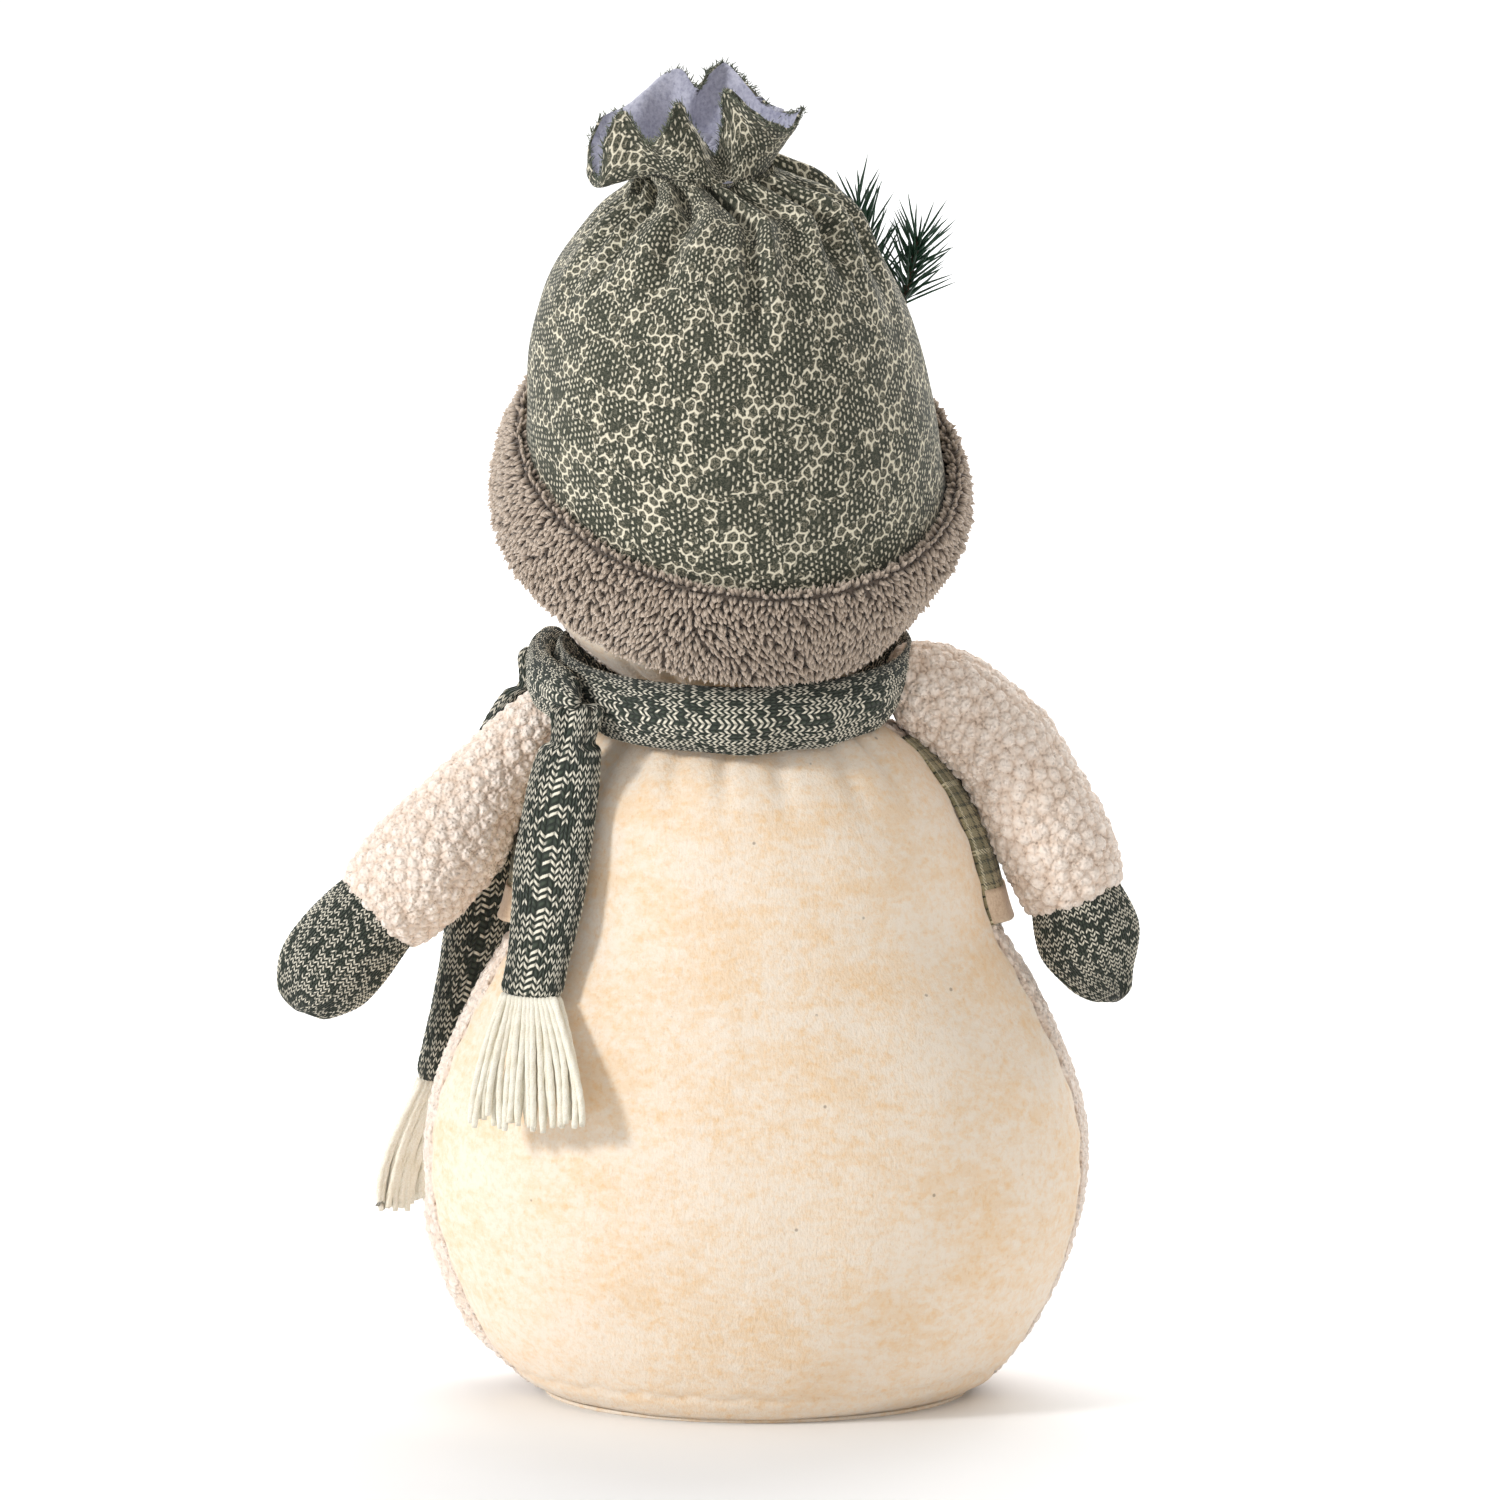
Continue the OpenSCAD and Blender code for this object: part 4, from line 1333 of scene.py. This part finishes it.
    def build(self) -> None:
        """Makes every piece of the hat."""
        measure = (515, 205)
        place, relief = self.crown_place, self.crown_relief
        crown = Cloth("hat_crown_cloth", 340, 170, place, relief, measure).build()
        self.wardrobe.dress(crown, HatCloth())
        declare(crown, "head", ["hat_crown"])
        wadding = Cloth("hat_wadding", 72, 30, self.wadding_place, self.wadding_relief).build()
        self.wardrobe.dress(wadding, WADDING)
        declare(wadding, "head", ["hat_stuffing"])
        self.frill()
        self.cuff()
        self.pile()
        self.wardrobe.dress_node("hat_gather_cord", THREAD)

    def frill(self) -> None:
        """The ruffled open end over the gather, with its lining and frayed edge."""

        def curl(u: np.ndarray, v: np.ndarray, p: np.ndarray) -> tuple[np.ndarray, np.ndarray]:
            """Crumples in the frill."""
            return 0.9 * ripple(p, 8, 2.0) * step(v, 0.25, 0.5), v

        frill = Cloth("hat_frill_cloth", 360, 72, self.frill_place, curl, (250, 52)).build()
        thicken(frill, self.frill_t).material_offset = 1
        self.wardrobe.dress(frill, HatCloth(), BACKING)
        declare(frill, "head", ["hat_frill"])
        fray = self.fray()

    def fray(self) -> bpy.types.Object:
        """Loose threads along the frill's cut edge."""
        rnd = random.Random(11)
        count = self.threads
        u = np.array([rnd.random() for _ in range(count)])
        edge = self.frill_place(u, np.full(count, 0.985))
        before = self.frill_place(u, np.full(count, 0.93))
        frames = []
        for k in range(count):
            run = edge[k] - before[k]
            run = run / np.linalg.norm(run) + np.array([rnd.gauss(0, 0.55) for _ in range(3)])
            at = edge[k] + np.array([rnd.uniform(-0.5, 0.5) for _ in range(3)])
            wide, long = rnd.uniform(0.16, 0.3), rnd.uniform(1.6, 3.6)
            frames.append(aim(at, run, wide, long, rnd.uniform(0, 6.3)))
        fray = scatter("frill_fray", lock_shape(4, (1, 0.9, 0.6), 2.0), np.array(frames))
        self.wardrobe.dress(fray, Plain("fray_thread", dye("2f3f30"), dye("8e907a"), 600, 0.9, 0.0002))
        declare(fray, "head")
        return fray

    def cuff_place(self, u: np.ndarray, v: np.ndarray) -> np.ndarray:
        """Points round the cuff's section: v runs up its outside and down its inside."""
        t, s = 2 * np.pi * u, 2 * np.pi * v
        half = self.cuff_h / 2 - 1.5
        up = half * power(np.sin(s - np.pi / 2), 0.75)
        deep = (self.cuff_t - 2.2) / 2
        out = self.cuff_r + 0.3 + deep + deep * power(np.cos(s - np.pi / 2), 0.75) - 2.6 * step(up, 4, 20)
        beside = step(-up, -6, 16) * step(np.cos(t - math.pi), 0.3, 0.85)
        out -= 3.0 * beside
        up = up + 9.5 * beside
        at = np.tile(np.array(self.cuff_at, float), (len(u), 1))
        return self.hat_point(out * np.cos(t), out * np.sin(t), up, at, np.full(len(u), self.cuff_tilt))

    def cuff(self) -> None:
        """The cuff's band of backing."""

        def lumps(u: np.ndarray, v: np.ndarray, p: np.ndarray) -> tuple[np.ndarray, np.ndarray]:
            """Uneven backing under the pile."""
            return 0.6 * ripple(p, 7, 1.0), np.full(len(u), 0.2)

        band = Cloth("cuff_band", 200, 30, self.cuff_place, lumps, (520, 90)).build()
        self.wardrobe.dress(band, Plain("fur_backing", dye("6a5d53"), dye("4e443c"), 700, 0.9, 0.0006))
        declare(band, "head", ["hat_cuff"])

    def lock_row(self, rnd: random.Random, v: float, shift: float, share: float) -> list[np.ndarray]:
        """Frames of one row of locks round the cuff.

        Args:
            rnd: the source of chance.
            v: place of the row along the cuff's section.
            shift: shift of the row along itself, in locks.
            share: length of its locks, as a share of the rest.

        Returns:
            One matrix for each lock.
        """
        count = int(2 * math.pi * (self.cuff_r + 4) / self.pile_pitch)
        u = np.arange(count) + shift + np.array([rnd.uniform(-0.3, 0.3) for _ in range(count)])
        u = np.mod(u / count, 1)
        vs = np.mod(np.full(count, v) + np.array([rnd.uniform(-0.008, 0.008) for _ in range(count)]), 1)
        at = self.cuff_place(u, vs)
        e = 0.004
        around = self.cuff_place(np.mod(u + e, 1), vs) - self.cuff_place(np.mod(u - e, 1), vs)
        along = self.cuff_place(u, np.mod(vs + e, 1)) - self.cuff_place(u, np.mod(vs - e, 1))
        out = np.cross(around, along)
        out /= np.linalg.norm(out, axis=1, keepdims=True)
        along /= np.linalg.norm(along, axis=1, keepdims=True)
        around /= np.linalg.norm(around, axis=1, keepdims=True)
        swirl = ripple(at, 26, 7.0)
        frames = []
        for j in range(count):
            lay = along[j] * rnd.gauss(-0.9 + 0.6 * swirl[j], 0.3)
            lay = lay + around[j] * rnd.gauss(0.9 * swirl[j], 0.3)
            wide, tall = rnd.uniform(*self.lock_wide), rnd.uniform(*self.lock_long) * share
            frames.append(aim(at[j] - out[j] * 0.5, out[j] + lay, wide, tall, rnd.uniform(0, 6.3)))
        return frames

    def pile(self) -> None:
        """Locks of pile in even rows all over the cuff's outside, shorter under its lower edge."""
        rnd = random.Random(5)
        trace = np.linspace(*self.pile_span, 400)
        line = self.cuff_place(np.full(len(trace), 0.25), np.mod(trace, 1))
        runs = np.append(0, np.cumsum(np.linalg.norm(np.diff(line, axis=0), axis=1)))
        frames = []
        for k in range(self.pile_rows):
            v = float(np.interp(runs[-1] * (k + 0.5) / self.pile_rows, runs, trace))
            full = float(step(np.array([v]), -0.05, 0.13)[0])
            share = self.lip_share + (1 - self.lip_share) * full
            frames += self.lock_row(rnd, v, 0.5 * (k % 2), share)
        pile = scatter("cuff_pile", lock_shape(5, (0.8, 1.05, 0.85), 0.9), np.array(frames))
        self.wardrobe.dress(pile, Fur())
        declare(pile, "head")


@dataclass
class Sprig:
    """The pine sprig tucked behind the cuff.

    Args:
        wardrobe: the finishes.
        foot: where its stems meet.
        tips: ends of its branches.
        per_branch: needles on each branch.
        length: length of a needle.
        needle_w: width of a needle.
        spiral: turn from one needle to the next, in radians.
    """

    wardrobe: Wardrobe
    foot: tuple[float, float, float] = (-52, -44, 395)
    tips: Rows = ((-38, -47, 452), (-62, -41, 439))
    per_branch: int = 74
    length: float = 25.0
    needle_w: float = 0.5
    spiral: float = 2.4

    def build(self) -> None:
        """Makes the needles and finishes the stems."""
        rnd = random.Random(3)
        foot = np.array(self.foot, float)
        frames = []
        for tip in self.tips:
            run = np.array(tip, float) - foot
            size = np.linalg.norm(run)
            run /= size
            for k in range(self.per_branch):
                f = 0.42 + 0.58 * (k / self.per_branch)
                turn = k * self.spiral
                side = np.cross(run, [0, 1, 0])
                side /= np.linalg.norm(side)
                other = np.cross(run, side)
                out = math.cos(turn) * side + math.sin(turn) * other
                lean = 0.55 + 0.9 * (1 - f) + rnd.uniform(-0.12, 0.12)
                along = run * rnd.uniform(0.75, 1.0) + out * lean
                at = foot + run * size * f + out * 0.8
                long = self.length * rnd.uniform(0.72, 1.05) * (1.05 - 0.25 * f)
                frames.append(aim(at, along, self.needle_w, long, rnd.uniform(0, 6.3)))
        needles = scatter("pine_needles", lock_shape(5, (1, 0.95, 0.85, 0.6), 4.5), np.array(frames))
        self.wardrobe.dress(needles, NEEDLE)
        declare(needles, "head", ["sprig_needles"])
        self.wardrobe.dress_node("sprig_stems", WIRE)


# ---------------------------------------------------------------- the scarf


def stitches(u: np.ndarray, v: np.ndarray) -> np.ndarray:
    """Height from 0 to 1 of stocking stitch at places counted in stitches and rows."""
    side = np.abs(u - np.floor(u) - 0.5)
    slanted = v + side * 1.5
    leg = np.maximum(np.sin(2 * np.pi * side), 0)
    return leg * (0.35 + 0.65 * np.sin(np.pi * (slanted - np.floor(slanted))))


@dataclass
class Scarf:
    """The knitted scarf: a wrap, a crossing piece, two tails and their fringes.

    Args:
        wardrobe: the finishes.
        thick: thickness of the tails.
        wrap: height, inner radius and outer radius of the wrap's section.
        wrap_x: how far the wrap's middle lies to the left.
        tilt: how far the wrap leans down at the back, in degrees.
        stitch: width of a stitch.
        row: height of a row of stitches.
        yarn_r: radius of a fringe yarn.
        fringe_len: how far the back fringe hangs.
        strands: yarns in each of a fringe's two layers.
        strand_points: points along each yarn.
        back_rows: place (three values) and half width of each row down the back tail.
        front_rows: the same for the front tail.
        cross_z: height of the crossing piece's middle.
        cross_h: half its height.
        cross_r: radius of its middle.
        cross_t: half its thickness.
    """

    wardrobe: Wardrobe
    thick: float = 11.0
    wrap: Rows = (
        (262, 54, 58.5), (268, 54.5, 63), (276, 57.5, 66.5), (284, 61.5, 68.5), (290, 64.5, 67.5),
    )
    wrap_x: float = 8.0
    tilt: float = 6.0
    stitch: float = 2.4
    row: float = 2.3
    yarn_r: float = 1.35
    fringe_len: float = 48.0
    strands: int = 15
    strand_points: int = 26
    back_rows: Rows = (
        (69, 42, 259, 8), (70, 42, 255, 12), (73, 42, 240, 14), (77, 47.5, 214, 15),
        (79, 50, 196, 14), (82, 53.5, 178, 12.5), (85, 58.5, 163, 12.5),
    )
    front_rows: Rows = (
        (83, -34, 268, 7), (86, -34, 263, 11.5), (97, -34, 240, 13.5), (104, -37, 207, 13.5),
        (106, -42, 176, 13), (113, -48, 145, 11), (122, -54.5, 109, 9.5),
    )
    cross_z: float = 279.0
    cross_h: float = 10.6
    cross_r: float = 74.3
    cross_t: float = 4.8

    def ring(self, radius: np.ndarray, z: np.ndarray, angle: np.ndarray) -> np.ndarray:
        """Points of the tilted scarf round the neck."""
        y = (radius - 2) * np.sin(angle)
        x = self.wrap_x + radius * np.cos(angle)
        return np.stack([x, y, z - y * math.tan(math.radians(self.tilt))], axis=1)

    def wrap_place(self, u: np.ndarray, v: np.ndarray) -> np.ndarray:
        """Points of the wrap: u runs round the neck, v up the outside and down the inside."""
        table = np.asarray(self.wrap, float)
        t, s = 2 * np.pi * u, 2 * np.pi * v
        low, high = table[0, 0], table[-1, 0]
        z = (low + high) / 2 + (high - low) / 2 * power(np.sin(s - np.pi / 2), 0.8)
        inner = np.interp(z, table[:, 0], table[:, 1])
        outer = np.interp(z, table[:, 0], table[:, 2])
        radius = (inner + outer) / 2 + (outer - inner) / 2 * power(np.cos(s - np.pi / 2), 0.6)
        return self.ring(radius, z, t)

    def wrap_relief(self, u: np.ndarray, v: np.ndarray, p: np.ndarray) -> tuple[np.ndarray, np.ndarray]:
        """Stitches and a few slanted folds on the outside of the wrap."""
        across, around = self.wrap_size()
        knit = stitches(v * across, u * around)
        outside = step(np.sin(2 * np.pi * (v - 0.25) + np.pi / 2), -0.2, 0.4)
        fold = np.sin(9 * 2 * np.pi * u + 7 * v + 1.5 * np.sin(6 * np.pi * u))
        height = 0.45 * (knit - 0.5) + outside * (0.7 * fold + 0.8 * ripple(p, 18, 3.0))
        return height, knit

    def wrap_size(self) -> tuple[int, int]:
        """Stitches across and rows round the wrap."""
        return int(2 * (30 + 6) / self.stitch), int(2 * math.pi * 62 / self.row)

    def crossing_place(self, u: np.ndarray, v: np.ndarray) -> np.ndarray:
        """Points of the piece that crosses over the wrap: v runs round its section."""
        angle = np.radians(-27 + 65 * u)
        s = 2 * np.pi * v
        end = np.sqrt(np.clip(1 - (2 * np.abs(u - 0.5)) ** 8, 0, 1))
        z = self.cross_z + self.cross_h * power(np.sin(s - np.pi / 2), 0.75) * (0.25 + 0.75 * end)
        radius = self.cross_r + self.cross_t * power(np.cos(s - np.pi / 2), 0.75) * end
        return self.ring(radius, z, angle)

    def crossing_relief(self, u: np.ndarray, v: np.ndarray, p: np.ndarray) -> tuple[np.ndarray, np.ndarray]:
        """Stitches and soft folds."""
        knit = stitches(v * 24, u * 38)
        return 0.42 * (knit - 0.5) + 0.5 * ripple(p, 9, 2.0), knit

    def tail_place(self, rows: Rows, yaw: float) -> Place:
        """Wraps a flattened tube along a tail's outline, closed and rounded at both ends."""
        turn = math.radians(yaw)
        x0, y0, z0, half = rows[0]
        tucked = (x0 - 2, y0 - 1, z0 + 14, half + 3)

        def put(u: np.ndarray, v: np.ndarray) -> np.ndarray:
            """Points of the tail, from its end at v 0 to its top, inside the wrap, at v 1."""
            row = evenly((tucked, *rows), 1, 2, 1 - v)
            s = 2 * np.pi * u
            close = np.sqrt(np.clip(1 - np.clip(1 - v / 0.045, 0, 1) ** 2, 0, 1))
            close = close * np.sqrt(np.clip(1 - np.clip((v - 0.97) / 0.03, 0, 1) ** 2, 0, 1))
            w = row[:, 3] * power(np.cos(s), 0.7) * (0.45 + 0.55 * close) * (close > 0)
            h = self.thick / 2 * power(np.sin(s), 0.7) * close
            x = row[:, 0] + w * math.cos(turn) + h * math.sin(turn)
            y = row[:, 1] - w * math.sin(turn) + h * math.cos(turn)
            return np.stack([x, y, row[:, 2]], axis=1)

        return put

    def tail(self, name: str, node: str, rows: Rows, yaw: float, body: str) -> None:
        """One tail, whose top is tucked up into the wrap."""
        table = np.asarray(rows, float)
        length = np.linalg.norm(np.diff(table[:, :3], axis=0), axis=1).sum()
        across, along = 29, int(length / self.row)

        def relief(u: np.ndarray, v: np.ndarray, p: np.ndarray) -> tuple[np.ndarray, np.ndarray]:
            """Stitches, and gathers where the tail is tucked in."""
            knit = stitches(u * across, v * along)
            top = step(v, 0.72, 0.97)
            gathers = np.sin(2 * np.pi * u * 7) * top
            return 0.42 * (knit - 0.5) + 0.8 * gathers + 0.5 * ripple(p, 16, 1.0), knit

        place = self.tail_place(rows, yaw)
        tail = Cloth(name, across * 5, along * 5, place, relief, (across, along)).build()
        self.wardrobe.dress(tail, Marl())
        declare_bent(tail, body, node)

    def strand(self, rnd: random.Random, top: Vector, low: Vector, side: float) -> list[Vector]:
        """Points of one hanging yarn, in metres.

        Args:
            rnd: the source of chance.
            top: where it leaves the tail.
            low: its cut end.
            side: 1 where it hangs behind the body, -1 in front of it.

        Returns:
            Its points from top to end.
        """
        bow, sway, phase = rnd.uniform(0.4, 1.3), rnd.uniform(-1.3, 1.3), rnd.uniform(0, 6.3)
        spread = rnd.uniform(0.75, 1.35)
        path = []
        for j in range(self.strand_points):
            g = j / (self.strand_points - 1)
            out = math.sin(g * math.pi / 2)
            x = top.x + (low.x - top.x) * out**spread
            y = top.y + (low.y - top.y) * (0.55 * g + 0.45 * out)
            at = Vector((x, y, top.z + (low.z - top.z) * g))
            at.x += sway * math.sin(g * 5 + phase) * g
            at.y += side * bow * math.sin(g * math.pi)
            path.append(at * MM)
        return path

    def fringe(
        self, name: str, node: str, rows: Rows, yaw: float, body: str, lie: Sequence[float]
    ) -> None:
        """Plied yarns that leave the end of a tail, spread and hang.

        Args:
            name: name of the piece.
            node: the CAD node that it stands for.
            rows: the tail's outline.
            yaw: turn of the tail, in degrees.
            body: the CAD body that it moves with.
            lie: spread to each side, shift across, shift away and side of the body.
        """
        spread, across, away, side = lie
        x0, y0, z0, half = rows[-1]
        turn = math.radians(yaw)
        rnd = random.Random(int(abs(x0) * 7))
        bm = bmesh.new()
        drop = self.fringe_len + (6 if side < 0 else 0)
        mirror = math.copysign(1, math.cos(turn))
        for layer in (-1, 1):
            h = layer * (self.yarn_r + 0.1)
            for k in range(self.strands):
                f = 2 * k / (self.strands - 1) - 1
                w = (half - self.yarn_r) * f * 0.95
                top_x = x0 + w * math.cos(turn) + h * math.sin(turn)
                top = Vector((top_x, y0 - w * math.sin(turn) + h * math.cos(turn), z0 + 1.5))
                shift = spread * f * mirror + rnd.uniform(-1.0, 1.0)
                end_y = y0 + side * (away - 6 * f * mirror) + h * math.cos(turn)
                end_z = z0 - drop + rnd.uniform(0, 5.5) + 3 * abs(f)
                low = Vector((x0 + across + shift, end_y, end_z))
                yarn(bm, self.strand(rnd, top, low, side), self.yarn_r * MM, turn=0.62, plies=3)
        bmesh.ops.recalc_face_normals(bm, faces=bm.faces[:])
        fringe = from_bmesh(name, bm)
        self.wardrobe.dress(fringe, YARN)
        declare(fringe, body, [node])

    def build(self) -> None:
        """Makes every piece of the scarf."""
        across, around = self.wrap_size()
        size, measure = (around * 4, across * 4), (around, across)
        place, relief = self.wrap_place, self.wrap_relief
        wrap = Cloth("scarf_wrap_knit", *size, place, relief, measure, turned=True).build()
        self.wardrobe.dress(wrap, Marl())
        declare(wrap, "torso", ["scarf_wrap"])
        place, relief = self.crossing_place, self.crossing_relief
        cross = Cloth("scarf_crossing", 150, 96, place, relief, (38, 24), turned=True).build()
        self.wardrobe.dress(cross, Marl())
        declare(cross, "torso", ["scarf_crossover"])
        self.tail("back_tail_knit", "scarf_back_tail", self.back_rows, 25, "back_tail")
        self.tail("front_tail_knit", "scarf_front_tail", self.front_rows, 160, "front_tail")
        self.fringe("back_fringe_yarns", "back_fringe", self.back_rows, 25, "back_tail", (21, 1, 26, 1))
        self.fringe("front_fringe_yarns", "front_fringe", self.front_rows, 160, "front_tail", (8, 15, 8, -1))


# ----------------------------------------------------------------- the arms


@dataclass
class Arm:
    """One arm: a fleece sleeve and a knitted mitten.

    Args:
        wardrobe: the finishes.
        name: "left" or "right", as the snowman sees it.
        sleeve: place across, height and radius of each row of the sleeve, from its cuff up.
        mitten: the same for the mitten, from its top down.
        flat: depth of the arm as a share of its width.
        stitch: width of a stitch.
        row: height of a row of stitches.
        hand_r: radius of the mitten where its stitches are counted.
    """

    wardrobe: Wardrobe
    name: str
    sleeve: Rows
    mitten: Rows
    flat: float = 0.95
    stitch: float = 2.3
    row: float = 2.1
    hand_r: float = 18.5

    def place(self, rows: Rows, roll: float = 0.0) -> Place:
        """Wraps cloth round a limb; a roll turns the first stretch of it inwards."""

        def put(u: np.ndarray, v: np.ndarray) -> np.ndarray:
            """Points of the limb's surface."""
            e = 0.01
            p = evenly(rows, 0, 1, v)
            d = evenly(rows, 0, 1, np.minimum(v + e, 1)) - evenly(rows, 0, 1, np.maximum(v - e, 0))
            run = np.maximum(np.linalg.norm(d[:, :2], axis=1), 1e-9)
            dx, dz = d[:, 0] / run, d[:, 1] / run
            r = p[:, 2].copy()
            end = np.clip((v - 0.93) / 0.07, 0, 1)
            r = r * np.sqrt(np.clip(1 - end**2.2, 0, 1))
            if roll:
                r = r - 4.5 * (1 - np.sqrt(np.clip(1 - (1 - np.clip(v / roll, 0, 1)) ** 2, 0, 1)))
            t = 2 * np.pi * u
            across, deep = r * np.cos(t), self.flat * r * np.sin(t)
            return np.stack([p[:, 0] + across * dz, deep, p[:, 1] - across * dx], axis=1)

        return put

    def sleeve_relief(self, u: np.ndarray, v: np.ndarray, p: np.ndarray) -> tuple[np.ndarray, np.ndarray]:
        """Curls of pile over a softly lumpy sleeve."""
        lift = nubs(p, 4.6)
        keep = step(v, 1.0, 0.93)
        return keep * (2.6 * (lift - 0.45) + 1.0 * ripple(p, 22, 2.0)), lift

    def build(self) -> None:
        """Makes the sleeve and the mitten."""
        place = self.place(self.sleeve, 0.05)
        sleeve = Cloth(f"{self.name}_sleeve_fleece", 196, 176, place, self.sleeve_relief).build()
        self.wardrobe.dress(sleeve, Fleece())
        declare_bent(sleeve, f"{self.name}_arm", f"{self.name}_sleeve")
        self.hand()
        self.wardrobe.dress_node(f"{self.name}_arm_stuffing", WADDING)

    def hand(self) -> None:
        """The knitted mitten."""
        table = np.asarray(self.mitten, float)
        length = np.linalg.norm(np.diff(table[:, :2], axis=0), axis=1).sum() + 8
        across, along = int(2 * math.pi * self.hand_r / self.stitch), int(length / self.row)

        def knit_relief(u: np.ndarray, v: np.ndarray, p: np.ndarray) -> tuple[np.ndarray, np.ndarray]:
            """Stitches over a softly stuffed hand."""
            knit = stitches(u * across, v * along)
            fade = step(v, 1.0, 0.9)
            return fade * (0.38 * (knit - 0.5) + 0.5 * ripple(p, 15, 5.0)), knit

        name, size = f"{self.name}_mitten_knit", (across * 4, along * 4)
        place = self.place(self.mitten, 0.03)
        mitten = Cloth(name, *size, place, knit_relief, (across, along)).build()
        self.wardrobe.dress(mitten, Marl())
        declare(mitten, f"{self.name}_arm", [f"{self.name}_mitten"])


# --------------------------------------------------------------- the studio


@dataclass(frozen=True)
class Lamp:
    """A soft round light.

    Args:
        name: its name.
        place: where it hangs, in metres.
        size: its width in metres.
        watts: its power.
        colour: its colour.
        faces: what it is aimed at; the figure if nothing is given.
    """

    name: str
    place: tuple[float, float, float]
    size: float
    watts: float
    colour: tuple[float, float, float] = (1, 1, 1)
    faces: tuple[float, ...] = ()


LAMPS = (
    Lamp("key", (2.3, 1.25, 1.35), 0.5, 48),
    Lamp("fill", (-2.2, 1.7, 1.4), 2.2, 8, colour=(1, 0.86, 0.7)),
    Lamp("front", (-1.6, -2.2, 2.0), 1.6, 24),
    Lamp("backdrop", (0, -2.2, 2.4), 3.0, 90, faces=(0, -2.6, 0)),
)


@dataclass
class Studio:
    """White floor, white air, soft lights and the camera.

    Args:
        target: what the camera looks at, in metres.
        elevation: height of the camera over it, in degrees.
        distance: how far off the camera is, in metres.
        width: width of its view at the figure, in metres.
        air: brightness of the white air all round.
        sensor: width of the camera's sensor, in millimetres.
    """

    target: tuple[float, float, float] = (0.0023, 0.0, 0.248)
    elevation: float = 10.0
    distance: float = 6.0
    width: float = 0.570
    air: float = 0.58
    sensor: float = 36.0

    def build(self) -> None:
        """Sets up the studio."""
        bm = bmesh.new()
        bmesh.ops.create_circle(bm, cap_ends=True, segments=64, radius=6)
        floor = from_bmesh("studio_floor", bm)
        white = Plain("studio_white", dye("f6f6f6"), dye("f2f2f2"), 2, 0.9, 0.0, (1, 1, 1), 0.0)
        Wardrobe().dress(floor, white)
        for lamp in LAMPS:
            self.light(lamp)
        world = bpy.data.worlds.new("studio_air")
        world.use_nodes = True
        air = world.node_tree.nodes["Background"]
        air.inputs["Color"].default_value = (1, 1, 1, 1)
        air.inputs["Strength"].default_value = self.air
        bpy.context.scene.view_settings.view_transform = "Standard"
        bpy.context.scene.world = world
        self.camera()

    def light(self, lamp: Lamp) -> None:
        """Hangs one light."""
        data = bpy.data.lights.new(lamp.name, "AREA")
        data.shape = "DISK"
        data.size = lamp.size
        data.energy = lamp.watts
        data.color = lamp.colour
        obj = bpy.data.objects.new(lamp.name, data)
        obj.location = lamp.place
        aimed = Vector(lamp.faces or self.target) - Vector(lamp.place)
        obj.rotation_euler = aimed.to_track_quat("-Z", "Y").to_euler()
        bpy.context.scene.collection.objects.link(obj)

    def camera(self) -> None:
        """A long lens behind the figure and a little above it."""
        data = bpy.data.cameras.new("camera")
        data.sensor_width = self.sensor
        data.lens = self.sensor * self.distance / self.width
        obj = bpy.data.objects.new("camera", data)
        rise = math.radians(self.elevation)
        target = Vector(self.target)
        obj.location = target + self.distance * Vector((0, math.cos(rise), math.sin(rise)))
        obj.rotation_euler = (target - obj.location).to_track_quat("-Z", "Y").to_euler()
        bpy.context.scene.collection.objects.link(obj)
        bpy.context.scene.camera = obj


LEFT_SLEEVE: Rows = (
    (145, 184.5, 19), (130.5, 199, 22.6), (116, 215, 22.3), (106, 229.5, 18),
    (95, 245, 14.5), (84, 257, 12.5), (73, 265, 11), (64, 268, 9),
)
LEFT_MITTEN: Rows = (
    (138.5, 192.5, 15.2), (145, 184.8, 18.2), (157, 171, 20), (166, 160, 18.5), (173, 150.5, 11),
    (175, 147, 3),
)
RIGHT_SLEEVE: Rows = (
    (-122, 190, 19), (-114.5, 210, 21.5), (-105, 230, 21), (-95, 247.5, 20),
    (-81.5, 261, 19), (-69, 269.5, 18.5), (-58, 273, 16.5), (-48, 273, 12),
)
RIGHT_MITTEN: Rows = (
    (-118.8, 199, 15.2), (-122.2, 189.5, 18.2), (-127, 175, 20), (-131.5, 163, 14.5),
    (-136, 154.5, 8), (-137.5, 150.5, 3),
)


def main() -> None:
    """Builds the snowman around its frame, piece by piece."""
    logging.basicConfig(level=logging.INFO, format="%(name)s: %(message)s")
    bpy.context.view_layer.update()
    Studio().build()
    wardrobe = Wardrobe()
    body = Body(wardrobe)
    body.build()
    Vest(wardrobe, body).build()
    Head(wardrobe).build()
    Hat(wardrobe).build()
    Sprig(wardrobe).build()
    Scarf(wardrobe).build()
    Arm(wardrobe, "left", LEFT_SLEEVE, LEFT_MITTEN).build()
    Arm(wardrobe, "right", RIGHT_SLEEVE, RIGHT_MITTEN).build()


if __name__ == "__main__":
    main()
